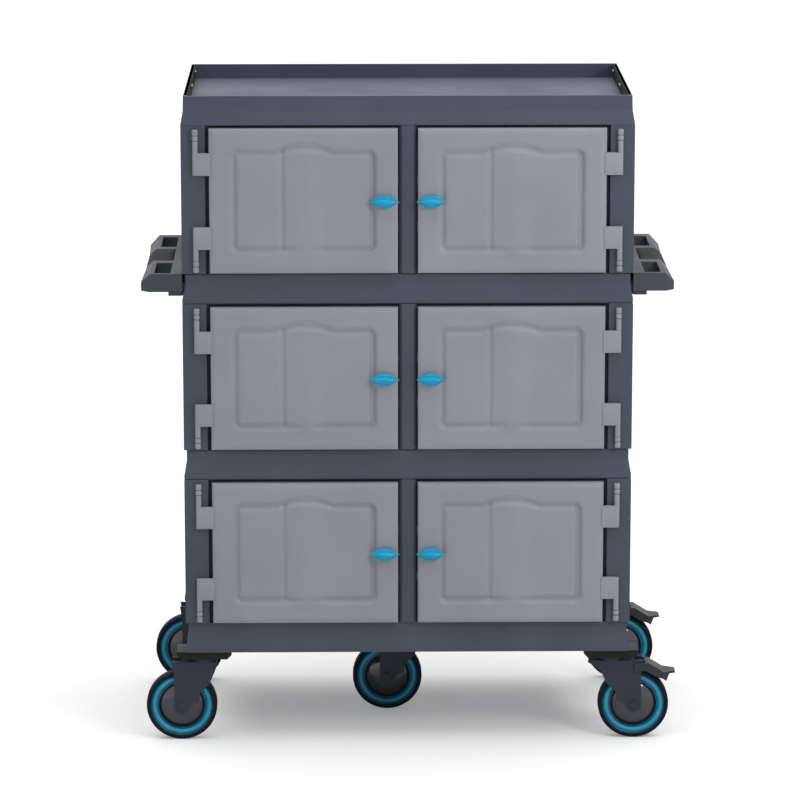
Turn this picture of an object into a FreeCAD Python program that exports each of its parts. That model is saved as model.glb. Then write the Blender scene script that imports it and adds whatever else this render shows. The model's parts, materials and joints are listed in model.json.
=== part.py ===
import FreeCAD, Part
import math
import os
import re
import Sketcher

# Enclosed meal tray cart: three moulded tiers of two cupboards each, a rimmed tray on top,
# a push handle on each side and five swivel casters.  Millimetres.  The origin is on the
# floor under the middle of the cart, +Z is up, the doors face -Y and +X is to the right of
# someone who looks at the doors.

SIZES = {
    # moulded body
    "body_width": 1000.0,
    "body_depth": 560.0,
    "band_height": 68.0,
    "opening_height": 331.5,
    "neck_step": 6.0,
    "neck_height": 25.0,
    "flare_height": 34.5,
    "skin": 5.0,
    "post_width": 54.0,
    "mullion_width": 40.0,
    "corner_radius": 7.0,
    "back_thickness": 10.0,
    "back_inset": 4.0,
    "back_margin": 45.0,
    "back_relief": 3.0,
    "wall_margin": 48.0,
    "wall_relief": 3.0,
    # tray on top
    "tray_foot": 32.0,
    "tray_step": 5.5,
    "rim_height": 32.0,
    "rim_draft": 0.8,
    "rim_thickness": 8.0,
    "slot_length": 16.0,
    "slot_height": 7.0,
    "slot_inset": 40.0,
    "slot_drop": 14.0,
    # doors
    "door_proud": 12.0,
    "door_inset": 16.0,
    "gap_hinge": 8.0,
    "gap_mullion": 2.0,
    "gap_above": 6.5,
    "gap_below": 2.5,
    "field_margin_x": 60.0,
    "field_margin_z": 54.0,
    "groove_width": 8.0,
    "groove_depth": 2.5,
    "bulge_width": 100.0,
    "bulge_rise": 2.4,
    "seal_width": 12.0,
    "seal_thickness": 4.0,
    "seal_clearance": 0.3,
    # hinges
    "hinge_reach": 30.0,
    "barrel_radius": 6.0,
    "barrel_clearance": 0.5,
    "arm_offset": 54.0,
    "arm_height": 49.5,
    "barrel_end": 2.0,
    "knuckle_height": 25.0,
    "pin_radius": 2.5,
    "running_clearance": 0.05,
    # turn latches
    "latch_inset": 30.0,
    "lever_length": 64.0,
    "lever_depth": 15.0,
    "lever_tip": 1.5,
    "boss_radius": 14.0,
    "boss_length": 8.6,
    "turn_gap": 0.4,
    "spindle_radius": 8.0,
    "tongue_thickness": 6.0,
    "tongue_width": 18.0,
    "tongue_clearance": 3.5,
    # push handles
    "handle_height": 41.0,
    "handle_reach": 92.0,
    "handle_length": 512.0,
    "handle_shift": 20.0,
    "handle_chamfer": 17.0,
    "handle_bevel": 21.0,
    "handle_waist": 6.0,
    "handle_root": 26.0,
    "grip_shift": 10.0,
    "hand_hole_width": 35.0,
    "hand_hole_length": 130.0,
    "hand_hole_inset": 86.0,
    "pad_length": 146.0,
    "pad_drop": 1.0,
    "stub_reach": 31.0,
    "stub_drop": 10.0,
    "stub_length": 496.0,
    "flange_length": 380.0,
    # tray runners in each cupboard
    "runner_ledge": 32.0,
    "runner_flange": 20.0,
    "runner_thickness": 3.0,
    "runner_setback": 40.0,
    "runner_pitch": 105.0,
    # casters
    "track_inset": 40.0,
    "front_inset": 40.0,
    "rear_inset": 34.0,
    "centre_shift": 8.0,
    "trail": 52.0,
    "wheel_radius": 80.0,
    "tyre_width": 32.0,
    "tyre_bore": 66.0,
    "tyre_round": 6.0,
    "tyre_fit": 0.1,
    "tyre_side_gap": 2.5,
    "hub_rim_inset": 2.0,
    "hub_rim_wall": 14.0,
    "hub_rim_slope": 8.0,
    "hub_web_width": 18.0,
    "hub_boss_radius": 14.0,
    "hub_boss_slope": 6.0,
    "boss_side_gap": 0.5,
    "axle_radius": 6.0,
    "axle_fit": 0.1,
    "axle_cap_radius": 9.0,
    "axle_cap_height": 3.0,
    "leg_thickness": 5.0,
    "leg_end_radius": 18.0,
    "leg_nose": 30.0,
    "braked_nose": 52.0,
    "nose_height": 4.0,
    "leg_back": 23.0,
    "leg_back_drop": 24.0,
    "leg_waist": 10.0,
    "leg_waist_up": 50.0,
    "leg_elbow": 12.0,
    "leg_elbow_up": 12.0,
    "leg_column_up": 30.0,
    "leg_front": 17.0,
    "leg_front_up": 20.0,
    "leg_front_drop": 32.0,
    "leg_front_top": 22.0,
    "tyre_clearance": 12.0,
    "crown_thickness": 12.0,
    "head_radius": 27.0,
    "head_height": 8.2,
    "swivel_gap": 0.3,
    "plate_length": 124.0,
    "plate_depth": 68.0,
    "plate_thickness": 18.0,
    "plate_bevel": 10.0,
    "bolt_spread_x": 52.0,
    "bolt_spread_y": 44.0,
    "bolt_radius": 4.0,
    "bolt_head_radius": 6.5,
    "bolt_head_height": 6.0,
    "bolt_grip": 16.0,
    "bolt_clearance": 0.2,
    "counterbore_extra": 1.5,
    "kingpin_radius": 8.0,
    "kingpin_flange": 14.0,
    "kingpin_flange_height": 5.5,
    "kingpin_seat": 8.0,
    "pedal_pivot_out": 62.0,
    "pedal_pivot_drop": 16.0,
    "pedal_pin_radius": 4.0,
    "pedal_heel": 9.0,
    "pedal_crest_out": 24.0,
    "pedal_crest_up": 10.0,
    "pedal_web_start": 16.0,
    "pedal_web": 6.0,
    "pedal_step": 58.0,
    "pedal_length": 84.0,
    "pedal_toe_drop": 11.0,
    "pedal_toe": 5.0,
    "pedal_toe_width": 30.0,
    "shoe_out": 64.0,
    "shoe_drop": 33.0,
    "shoe_width": 7.0,
    "shoe_rise": 6.0,
    "cheek_waist_out": 42.0,
    "cheek_waist_drop": 23.0,
    "cheek_thickness": 4.0,
    "cheek_gap": 0.7,
}

# ------------------------------------------------------------------ document and helpers

os.makedirs("parts", exist_ok=True)
doc = FreeCAD.newDocument("MealTrayCart")
sheet = doc.addObject("Spreadsheet::Sheet", "Sizes")
for row, (alias, size) in enumerate(SIZES.items(), start=1):
    sheet.set(f"A{row}", alias)
    sheet.set(f"B{row}", str(size))
    sheet.setAlias(f"B{row}", alias)
doc.recompute()

nodes = []


def formula(text):
    """Turn the size names in a formula into references to the spreadsheet."""
    return re.sub(r"[a-z_]+", lambda m: f"Sizes.{m[0]}" if m[0] in SIZES else m[0], str(text))


def number(text):
    """The present value of a formula."""
    return float(sheet.evalExpression(formula(text)))


def bind(thing, **formulas):
    """Bind properties of an object to formulas; place_x is Placement.Base.x, and so on."""
    for name, text in formulas.items():
        path = "Placement.Base." + name[-1] if name.startswith("place_") else name
        thing.setExpression(path, formula(text))
    return thing


def turned(thing, axis, angle):
    """Turn an object about one of its own axes."""
    thing.Placement.Rotation = FreeCAD.Rotation(FreeCAD.Vector(*axis), angle)
    return thing


def box(name, width, depth, height, x_mid, y_low, z_low):
    """A block that is centred on x_mid and stands on y_low and z_low."""
    block = doc.addObject("Part::Box", name)
    return bind(block, Length=width, Width=depth, Height=height,
                place_x=f"{x_mid} - ({width}) / 2", place_y=y_low, place_z=z_low)


def rod(name, radius, length, x, y, z, along="z"):
    """A cylinder that starts at a point and runs along +z or +y."""
    round_bar = doc.addObject("Part::Cylinder", name)
    if along == "y":
        turned(round_bar, (1, 0, 0), -90)
    return bind(round_bar, Radius=radius, Height=length, place_x=x, place_y=y, place_z=z)


def frustum(name, low_size, high_size, height, z_low):
    """A block whose plan shrinks or grows evenly from its bottom to its top."""
    wedge = doc.addObject("Part::Wedge", name)
    turned(wedge, (1, 0, 0), 90)
    (low_x, low_y), (high_x, high_y) = low_size, high_size
    return bind(wedge, Xmin=f"-({low_x}) / 2", Xmax=f"({low_x}) / 2",
                Zmin=f"-({low_y}) / 2", Zmax=f"({low_y}) / 2",
                X2min=f"-({high_x}) / 2", X2max=f"({high_x}) / 2",
                Z2min=f"-({high_y}) / 2", Z2max=f"({high_y}) / 2",
                Ymin="0", Ymax=height, place_x="0", place_y=MID_Y, place_z=z_low)


def union(name, *pieces):
    """One solid from touching or overlapping pieces."""
    whole = doc.addObject("Part::MultiFuse", name)
    whole.Shapes = list(pieces)
    whole.Refine = True
    return whole


def cut(name, base, *tools):
    """The base without the tools."""
    tool = tools[0] if len(tools) == 1 else union(name + "_tools", *tools)
    rest = doc.addObject("Part::Cut", name)
    rest.Base, rest.Tool, rest.Refine = base, tool, True
    return rest


def group(name, pieces):
    """Separate solids that belong to one node."""
    together = doc.addObject("Part::Compound", name)
    together.Links = list(pieces)
    return together


def outline(body, name, plane, points):
    """A closed sketch through points, each held to the origin by two bound distances."""
    sketch = body.newObject("Sketcher::SketchObject", name)
    origin_plane = next(f for f in body.Origin.OriginFeatures if f.Role == plane)
    sketch.AttachmentSupport = [(origin_plane, "")]
    sketch.MapMode = "FlatFace"
    corners = [FreeCAD.Vector(number(a), number(b), 0) for a, b in points]
    for index, corner in enumerate(corners):
        sketch.addGeometry(Part.LineSegment(corner, corners[(index + 1) % len(corners)]))
    for index in range(len(corners)):
        nxt = (index + 1) % len(corners)
        sketch.addConstraint(Sketcher.Constraint("Coincident", index, 2, nxt, 1))
    for index, (corner, texts) in enumerate(zip(corners, points)):
        for kind, value, text in zip(("DistanceX", "DistanceY"), corner, texts):
            held = sketch.addConstraint(Sketcher.Constraint(kind, -1, 1, index, 1, value))
            sketch.setExpression(f"Constraints[{held}]", formula(text))
    return sketch


def pad(name, plane, points, length, midplane=False):
    """A body that is one outline, padded."""
    body = doc.addObject("PartDesign::Body", name)
    sketch = outline(body, name + "_outline", plane, points)
    extrusion = body.newObject("PartDesign::Pad", name + "_pad")
    extrusion.Profile = sketch
    extrusion.SideType = "Symmetric" if midplane else "One side"
    extrusion.setExpression("Length", formula(length))
    return body


def turned_body(name, points, angle=360):
    """A body turned about its own Y axis from an outline in (y, radius)."""
    body = doc.addObject("PartDesign::Body", name)
    sketch = outline(body, name + "_outline", "YZ_Plane", points)
    spin = body.newObject("PartDesign::Revolution", name + "_turned")
    spin.Profile = sketch
    spin.ReferenceAxis = (sketch, ["H_Axis"])
    spin.Angle = angle
    return body


def node(thing, label):
    """Keep an object as a sub-part under this name."""
    thing.Label = label
    nodes.append(thing)
    return thing


# ------------------------------------------------------------------ derived places

FORK_GAP = "(tyre_width + 2 * tyre_side_gap)"
CROWN_TOP = "(2 * wheel_radius + tyre_clearance + crown_thickness)"
PLATE_LOW = f"({CROWN_TOP} + head_height + swivel_gap)"
BASE_BOTTOM = f"({PLATE_LOW} + plate_thickness)"

LATCH_PROUD = "(turn_gap + boss_length + lever_depth)"
MID_Y = f"((door_proud + {LATCH_PROUD}) / 2)"
FRONT = f"({MID_Y} - body_depth / 2)"
BACK = f"({MID_Y} + body_depth / 2)"
NECK_WIDTH = "(body_width - 2 * neck_step)"
NECK_DEPTH = "(body_depth - 2 * neck_step)"
TIER_PITCH = "(band_height + opening_height)"
TIERS = {name: tier for tier, name in enumerate(("lower", "middle", "upper"))}
SIDES = {"left": -1, "right": 1}


def floor_of(tier):
    """Height of a tier's cupboard floor."""
    return f"({BASE_BOTTOM} + band_height + {tier} * {TIER_PITCH})"


def band_under(tier):
    """Height of the underside of the deck that a tier stands on."""
    return f"({BASE_BOTTOM} + {tier} * {TIER_PITCH})"


TRAY_BOTTOM = band_under(3)
TRAY_FLOOR = f"({TRAY_BOTTOM} + tray_foot)"
RIM_TOP = f"({TRAY_FLOOR} + rim_height)"
WALL_INNER = "(body_width / 2 - post_width)"
PANEL_FRONT = f"({BACK} - back_inset - back_thickness)"

DOOR_WIDTH = f"({WALL_INNER} - gap_hinge - gap_mullion - mullion_width / 2)"
DOOR_MID = f"((mullion_width / 2 + gap_mullion) + {DOOR_WIDTH} / 2)"
DOOR_HEIGHT = "(opening_height - gap_above - gap_below)"
DOOR_FACE = f"({FRONT} - door_proud)"
DOOR_EDGE = f"({WALL_INNER} - gap_hinge)"
HINGE_X = f"({DOOR_EDGE} + hinge_reach)"
HINGE_Y = f"({FRONT} - barrel_radius - barrel_clearance)"
LATCH_X = "(mullion_width / 2 + gap_mullion + latch_inset)"

HANDLE_MID = f"({MID_Y} - handle_shift)"
GRIP_MID = f"({HANDLE_MID} - grip_shift)"
HANDLE_TOP = floor_of(TIERS["upper"])
HANDLE_LOW = f"({HANDLE_TOP} - handle_height)"

CASTER_X = "(body_width / 2 - track_inset)"
CASTERS = {
    "front_left": (f"(-{CASTER_X})", f"({FRONT} + front_inset)", -1, False),
    "front_right": (CASTER_X, f"({FRONT} + front_inset)", 1, True),
    "rear_left": (f"(-{CASTER_X})", f"({BACK} - rear_inset)", -1, False),
    "rear_right": (CASTER_X, f"({BACK} - rear_inset)", 1, True),
    "centre": ("centre_shift", MID_Y, -1, False),
}

# ------------------------------------------------------------------ decks and tray


def deck_solid(name, tier):
    """A deck's outer form: a full-width foot, a flare and a narrower neck on top."""
    low = band_under(tier)
    foot_height = "(band_height - neck_height - flare_height)"
    foot = box(name + "_foot", "body_width", "body_depth", foot_height, "0", FRONT, low)
    flare = frustum(name + "_flare", ("body_width", "body_depth"), (NECK_WIDTH, NECK_DEPTH),
                    "flare_height", f"{low} + {foot_height}")
    neck = box(name + "_neck", NECK_WIDTH, NECK_DEPTH, "neck_height", "0",
               f"{FRONT} + neck_step", f"{low} + band_height - neck_height")
    return union(name + "_form", foot, flare, neck)


def hollow(name, width, x_mid, z_low, height):
    """The sealed space inside a double-skinned moulding."""
    depth = f"({NECK_DEPTH} - 2 * skin)"
    return box(name, width, depth, height, x_mid, f"{FRONT} + neck_step + skin", z_low)


def make_decks():
    """Base and the two decks between tiers; the base stays solid where casters bolt on."""
    cell_width = f"({CASTER_X} - plate_length)"
    cell_mid = f"({CASTER_X} / 2)"
    inner_height = "(band_height - 2 * skin)"
    low = f"{band_under(0)} + skin"
    cells = [hollow(f"base_cell_{side}", cell_width, f"{sign} * {cell_mid}", low, inner_height)
             for side, sign in SIDES.items()]
    holes = [rod(f"base_hole_{k}", "bolt_radius + bolt_clearance", "bolt_grip + skin", x, y,
                 BASE_BOTTOM) for k, (x, y) in enumerate(bolt_places())]
    node(cut("base_deck", deck_solid("base_deck", 0), *cells, *holes), "base_deck")
    for label, tier in (("lower_deck", 1), ("upper_deck", 2)):
        cell = hollow(label + "_cell", f"({NECK_WIDTH} - 2 * skin)", "0",
                      f"{band_under(tier)} + skin", inner_height)
        node(cut(label, deck_solid(label, tier), cell), label)


def make_top_tray():
    """Rimmed tray: a flared hollow foot, a drafted rim and three slots in each side rim."""
    step_width, step_depth = "(body_width - 2 * tray_step)", "(body_depth - 2 * tray_step)"
    rim_width = f"({step_width} - 2 * rim_draft)"
    rim_depth = f"({step_depth} - 2 * rim_draft)"
    foot = frustum("tray_foot_form", ("body_width", "body_depth"), (step_width, step_depth),
                   "tray_foot", TRAY_BOTTOM)
    rim = frustum("tray_rim_form", (step_width, step_depth), (rim_width, rim_depth),
                  "rim_height", TRAY_FLOOR)
    wall = "2 * (rim_thickness + rim_draft)"
    recess = box("tray_recess", f"({step_width} - {wall})", f"({step_depth} - {wall})",
                 "2 * rim_height", "0", f"{FRONT} + tray_step + rim_thickness + rim_draft",
                 TRAY_FLOOR)
    cell = box("tray_cell", f"({step_width} - 2 * rim_thickness)",
               f"({step_depth} - 2 * rim_thickness)", "tray_foot - 2 * skin", "0",
               f"{FRONT} + tray_step + rim_thickness", f"{TRAY_BOTTOM} + skin")
    spread = "(body_depth / 2 - slot_inset)"
    slots = [box(f"rim_slot_{k}", "2 * body_width", "slot_length", "slot_height", "0",
                 f"{MID_Y} + {k} * {spread} - slot_length / 2",
                 f"{RIM_TOP} - slot_drop - slot_height / 2") for k in (-1, 0, 1)]
    form = union("tray_form", foot, rim)
    node(cut("top_tray", form, recess, cell, *slots), "top_tray")


# ------------------------------------------------------------------ walls of the tiers


def make_walls():
    """Double-skinned side walls, sealed, with a sunk field outside; the front is the post."""
    thick = "(post_width - 2 * skin - wall_relief)"
    for side, sign in SIDES.items():
        for tier_name, tier in TIERS.items():
            label = f"{side}_wall_{tier_name}"
            outer = box(label + "_outer", "post_width", "body_depth", "opening_height",
                        f"{sign} * (body_width / 2 - post_width / 2)", FRONT, floor_of(tier))
            inner = box(label + "_inner", thick, "body_depth - 2 * skin",
                        "opening_height - 2 * skin", f"{sign} * ({WALL_INNER} + skin + {thick} / 2)",
                        f"{FRONT} + skin", f"{floor_of(tier)} + skin")
            field = box(label + "_field", "2 * wall_relief", "body_depth - 2 * wall_margin",
                        "opening_height - 2 * wall_margin", f"{sign} * body_width / 2",
                        f"{FRONT} + wall_margin", f"{floor_of(tier)} + wall_margin")
            node(cut(label, outer, inner, field), label)


def make_partitions():
    """Centre walls, whose front edge is the mullion that both doors close against."""
    half, inner = "mullion_width / 2", "mullion_width / 2 - skin"
    bevel = "corner_radius"
    for tier_name, tier in TIERS.items():
        label = f"partition_{tier_name}"
        outer = pad(label + "_outer", "XY_Plane", [
            (f"-({half})", f"{FRONT} + {bevel}"), (f"-({half}) + {bevel}", FRONT),
            (f"{half} - {bevel}", FRONT), (half, f"{FRONT} + {bevel}"),
            (half, PANEL_FRONT), (f"-({half})", PANEL_FRONT)], "opening_height")
        bind(outer, place_z=floor_of(tier))
        void = box(label + "_void", f"2 * ({inner})",
                   f"{PANEL_FRONT} - {FRONT} - {bevel} - 2 * skin",
                   "opening_height - 2 * skin", "0", f"{FRONT} + {bevel} + skin",
                   f"{floor_of(tier)} + skin")
        node(cut(label, outer, void), label)


def make_back_panels():
    """Back panels between the side walls, each with two shallow sunk fields outside."""
    for tier_name, tier in TIERS.items():
        label = f"back_panel_{tier_name}"
        panel = box(label + "_plate", f"2 * {WALL_INNER}", "back_thickness", "opening_height",
                    "0", PANEL_FRONT, floor_of(tier))
        width = f"({WALL_INNER} - 1.5 * back_margin)"
        fields = [box(f"{label}_field_{side}", width, "2 * back_relief",
                      "opening_height - 2 * back_margin", f"{sign} * {WALL_INNER} / 2",
                      f"{BACK} - back_inset - back_relief",
                      f"{floor_of(tier)} + back_margin") for side, sign in SIDES.items()]
        node(cut(label, panel, *fields), label)


def make_tray_runners():
    """L-shaped rails that carry the meal trays, two levels a side in each cupboard."""
    length = f"({PANEL_FRONT} - {FRONT} - runner_setback)"
    start = f"({FRONT} + runner_setback)"
    rails = []
    for sign in SIDES.values():
        for seat, inward in ((WALL_INNER, -1), ("mullion_width / 2", 1)):
            for tier in TIERS.values():
                for level in (1, 2):
                    name = f"runner_{len(rails)}"
                    low = f"{floor_of(tier)} + {level} * runner_pitch"
                    ledge = box(name + "_ledge", "runner_ledge", length, "runner_thickness",
                                f"{sign} * ({seat} + {inward} * runner_ledge / 2)", start, low)
                    flange = box(name + "_flange", "runner_thickness", length, "runner_flange",
                                 f"{sign} * ({seat} + {inward} * runner_thickness / 2)",
                                 start, f"{low} - runner_flange + runner_thickness")
                    rails.append(union(name, ledge, flange))
    node(group("tray_runners", rails), "tray_runners")


# ------------------------------------------------------------------ doors, seals, hinges, latches


def hinge_ends(tier):
    """For the top and bottom hinge: the door's end height and the direction to its middle."""
    low = f"({floor_of(tier)} + gap_below)"
    return {"bottom": (low, 1), "top": (f"({low} + {DOOR_HEIGHT})", -1)}


def span(end, way, near, length):
    """Lowest height of a stretch that starts near millimetres from a door end."""
    return f"({end} + {near})" if way > 0 else f"({end} - {near} - {length})"


def door_arm(name, sign, end, way):
    """One hinge arm with its bored barrel."""
    arm = box(name + "_arm", "hinge_reach", "door_proud - barrel_clearance", "arm_height",
              f"{sign} * ({DOOR_EDGE} + hinge_reach / 2)", DOOR_FACE,
              span(end, way, "arm_offset", "arm_height"))
    length = "(arm_offset + arm_height - knuckle_height - barrel_end - barrel_clearance)"
    start = "(barrel_end + knuckle_height + barrel_clearance)"
    barrel = rod(name + "_barrel", "barrel_radius", length, f"{sign} * {HINGE_X}", HINGE_Y,
                 span(end, way, start, length))
    bore = rod(name + "_bore", "pin_radius + running_clearance", length,
               f"{sign} * {HINGE_X}", HINGE_Y, span(end, way, start, length))
    return arm, barrel, bore


def door_relief(name, sign, low):
    """The groove around the door's sunk field, and the soft bulge down its middle."""
    field_w = f"({DOOR_WIDTH} - 2 * field_margin_x)"
    field_h = f"({DOOR_HEIGHT} - 2 * field_margin_z)"
    mid = f"{sign} * {DOOR_MID}"
    face = f"{DOOR_FACE} - groove_depth"
    around = box(name + "_groove_out", field_w, "2 * groove_depth", field_h, mid, face,
                 f"{low} + field_margin_z")
    island = box(name + "_groove_in", f"{field_w} - 2 * groove_width", "4 * groove_depth",
                 f"{field_h} - 2 * groove_width", mid, f"{face} - groove_depth",
                 f"{low} + field_margin_z + groove_width")
    groove = cut(name + "_groove", around, island)
    radius = "((bulge_width / 2) ^ 2 + bulge_rise ^ 2) / (2 * bulge_rise)"
    drum = rod(name + "_drum", radius, field_h, mid,
               f"{DOOR_FACE} - bulge_rise + {radius}", f"{low} + field_margin_z")
    window = box(name + "_window", "bulge_width", "bulge_rise + door_proud", field_h, mid,
                 f"{DOOR_FACE} - bulge_rise", f"{low} + field_margin_z")
    bulge = doc.addObject("Part::MultiCommon", name + "_bulge")
    bulge.Shapes = [drum, window]
    return groove, bulge


def make_doors():
    """Doors, hollow past the latch, with hinge arms, a relief on the face and a latch bore."""
    for side, sign in SIDES.items():
        for tier_name, tier in TIERS.items():
            label = f"door_{side}_{tier_name}"
            low = f"({floor_of(tier)} + gap_below)"
            slab = box(label + "_slab", DOOR_WIDTH, "door_proud + door_inset", DOOR_HEIGHT,
                       f"{sign} * {DOOR_MID}", DOOR_FACE, low)
            groove, bulge = door_relief(label, sign, low)
            latch_side = "(latch_inset + spindle_radius + skin)"
            core = box(label + "_core", f"{DOOR_WIDTH} - {latch_side} - skin",
                       "door_proud + door_inset - groove_depth - 2 * skin",
                       f"{DOOR_HEIGHT} - 2 * skin",
                       f"{sign} * ({DOOR_MID} + ({latch_side} - skin) / 2)",
                       f"{DOOR_FACE} + groove_depth + skin", f"{low} + skin")
            grooved = cut(label + "_grooved", slab, groove, core)
            pieces, bores = [grooved, bulge], []
            for place, (end, way) in hinge_ends(tier).items():
                arm, barrel, bore = door_arm(f"{label}_{place}", sign, end, way)
                pieces += [arm, barrel]
                bores.append(bore)
            bores.append(rod(label + "_latch_bore", "spindle_radius + running_clearance",
                             "2 * body_depth", f"{sign} * {LATCH_X}",
                             f"{DOOR_FACE} - body_depth", f"{low} + {DOOR_HEIGHT} / 2", "y"))
            node(cut(label, union(label + "_whole", *pieces), *bores), label)


def make_door_seals():
    """Rubber strips behind each door's hinge edge and top edge, just clear of its back."""
    start = f"({FRONT} + door_inset + seal_clearance)"
    top_width = f"({WALL_INNER} - mullion_width / 2 - seal_width)"
    strips = []
    for side, sign in SIDES.items():
        for tier in TIERS.values():
            name = f"seal_{side}_{tier}"
            upright = box(name + "_upright", "seal_width", "seal_thickness", "opening_height",
                          f"{sign} * ({WALL_INNER} - seal_width / 2)", start, floor_of(tier))
            top = box(name + "_top", top_width, "seal_thickness", "seal_width",
                      f"{sign} * (mullion_width / 2 + {top_width} / 2)", start,
                      f"{floor_of(tier)} + opening_height - seal_width")
            strips.append(union(name, upright, top))
    node(group("door_seals", strips), "door_seals")


def make_hinge_hardware():
    """Knuckle brackets on the posts and the pins through them, two for each door."""
    brackets, pins = [], []
    for side, sign in SIDES.items():
        for tier in TIERS.values():
            for place, (end, way) in hinge_ends(tier).items():
                name = f"knuckle_{side}_{tier}_{place}"
                low = span(end, way, "barrel_end", "knuckle_height")
                x = f"{sign} * {HINGE_X}"
                knuckle = rod(name, "barrel_radius", "knuckle_height", x, HINGE_Y, low)
                foot = box(name + "_foot", "2 * barrel_radius",
                           "barrel_radius + barrel_clearance", "knuckle_height", x, HINGE_Y,
                           low)
                bore = rod(name + "_bore", "pin_radius + running_clearance",
                           "knuckle_height", x, HINGE_Y, low)
                brackets.append(cut(name + "_bracket", union(name + "_form", knuckle, foot),
                                    bore))
                length = "(arm_offset + arm_height - barrel_end)"
                pins.append(rod(name + "_pin", "pin_radius", length, x, HINGE_Y,
                                span(end, way, "barrel_end", length)))
    node(group("hinge_brackets", brackets), "hinge_brackets")
    node(group("hinge_pins", pins), "hinge_pins")


def make_latches():
    """Quarter-turn latches: a half-spindle lever, a boss, a spindle and an inner tongue."""
    for side, sign in SIDES.items():
        for tier_name, tier in TIERS.items():
            label = f"latch_{side}_{tier_name}"
            x = f"{sign} * {LATCH_X}"
            z = f"({floor_of(tier)} + gap_below + {DOOR_HEIGHT} / 2)"
            boss_back = f"({DOOR_FACE} - turn_gap)"
            lever_back = f"({boss_back} - boss_length)"
            lever = bind(lever_body(label), place_x=x, place_y=lever_back,
                         place_z=z)
            boss = rod(label + "_boss", "boss_radius", "boss_length", x, lever_back, z, "y")
            door_back = f"({FRONT} + door_inset)"
            spindle = rod(label + "_spindle", "spindle_radius",
                          f"{door_back} + turn_gap + tongue_thickness - {boss_back}", x,
                          boss_back, z, "y")
            reach = "(gap_mullion + latch_inset - tongue_clearance)"
            tongue = box(label + "_tongue", reach, "tongue_thickness", "tongue_width",
                         f"{sign} * ({LATCH_X} - {reach} / 2)", f"{door_back} + turn_gap",
                         f"{z} - tongue_width / 2")
            node(union(label, lever, boss, spindle, tongue), label)


def lever_body(label):
    """Half of a lemon: an arc over the lever's length, turned half round its long axis."""
    body = doc.addObject("PartDesign::Body", label + "_lever")
    sketch = body.newObject("Sketcher::SketchObject", label + "_arc")
    plane = next(f for f in body.Origin.OriginFeatures if f.Role == "XY_Plane")
    sketch.AttachmentSupport = [(plane, "")]
    sketch.MapMode = "FlatFace"
    rise = "(lever_depth - lever_tip)"
    arc_radius = f"((lever_length / 2) ^ 2 + {rise} ^ 2) / (2 * {rise})"
    half, radius, tip = number("lever_length / 2"), number(arc_radius), number("lever_tip")
    centre_up = radius - number("lever_depth")
    tilt = math.atan2(centre_up + tip, half)
    circle = Part.Circle(FreeCAD.Vector(0, centre_up, 0), FreeCAD.Vector(0, 0, 1), radius)
    ends = [FreeCAD.Vector(x, y, 0) for x, y in ((-half, 0), (half, 0), (half, -tip), (-half, -tip))]
    sketch.addGeometry(Part.LineSegment(ends[0], ends[1]))
    sketch.addGeometry(Part.LineSegment(ends[1], ends[2]))
    sketch.addGeometry(Part.ArcOfCircle(circle, math.pi + tilt, 2 * math.pi - tilt))
    sketch.addGeometry(Part.LineSegment(ends[3], ends[0]))
    for pair in ((0, 2, 1, 1), (1, 2, 2, 2), (2, 1, 3, 1), (3, 2, 0, 1)):
        sketch.addConstraint(Sketcher.Constraint("Coincident", *pair))
    sketch.addConstraint(Sketcher.Constraint("Vertical", 1))
    sketch.addConstraint(Sketcher.Constraint("Vertical", 3))
    sketch.addConstraint(Sketcher.Constraint("PointOnObject", 0, 1, -1))
    sketch.addConstraint(Sketcher.Constraint("PointOnObject", 2, 3, -2))
    sketch.addConstraint(Sketcher.Constraint("Symmetric", 0, 1, 0, 2, -2))
    for kind, first, second, value, text in (
            ("DistanceX", (0, 1), (0, 2), 2 * half, "lever_length"),
            ("DistanceY", (1, 2), (1, 1), tip, "lever_tip"),
            ("DistanceY", (-1, 1), (2, 3), centre_up, f"{arc_radius} - lever_depth")):
        held = sketch.addConstraint(Sketcher.Constraint(kind, *first, *second, value))
        sketch.setExpression(f"Constraints[{held}]", formula(text))
    spin = body.newObject("PartDesign::Revolution", label + "_spun")
    spin.Profile = sketch
    spin.ReferenceAxis = (sketch, ["H_Axis"])
    spin.Angle = 180
    spin.Midplane = True
    return body


# ------------------------------------------------------------------ push handles


def handle_form(label, sign):
    """The slab of one handle, with a bevel along its outer top edge and a slight waist."""
    inner, outer = "body_width / 2", "(body_width / 2 + handle_reach)"
    mid, half, grip = HANDLE_MID, "handle_length / 2", GRIP_MID
    slab = pad(label + "_slab", "XY_Plane", [
        (f"{sign} * ({inner})", f"{mid} - {half}"),
        (f"{sign} * ({outer} - handle_chamfer)", f"{mid} - {half}"),
        (f"{sign} * {outer}", f"{mid} - {half} + handle_chamfer"),
        (f"{sign} * ({outer} - handle_waist)", f"{grip} - pad_length / 2"),
        (f"{sign} * ({outer} - handle_waist)", f"{grip} + pad_length / 2"),
        (f"{sign} * {outer}", f"{mid} + {half} - handle_chamfer"),
        (f"{sign} * ({outer} - handle_chamfer)", f"{mid} + {half}"),
        (f"{sign} * ({inner})", f"{mid} + {half}")], "handle_height")
    bind(slab, place_z=HANDLE_LOW)
    shave = pad(label + "_shave", "XZ_Plane", [
        (f"{sign} * ({outer} - handle_bevel)", HANDLE_TOP),
        (f"{sign} * {outer}", f"{HANDLE_TOP} - handle_bevel"),
        (f"{sign} * ({outer} + handle_bevel)", f"{HANDLE_TOP} - handle_bevel"),
        (f"{sign} * ({outer} + handle_bevel)", f"{HANDLE_TOP} + handle_bevel"),
        (f"{sign} * ({outer} - handle_bevel)", f"{HANDLE_TOP} + handle_bevel")],
        "2 * handle_length", midplane=True)
    return cut(label + "_bevelled", slab, shave)


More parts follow.
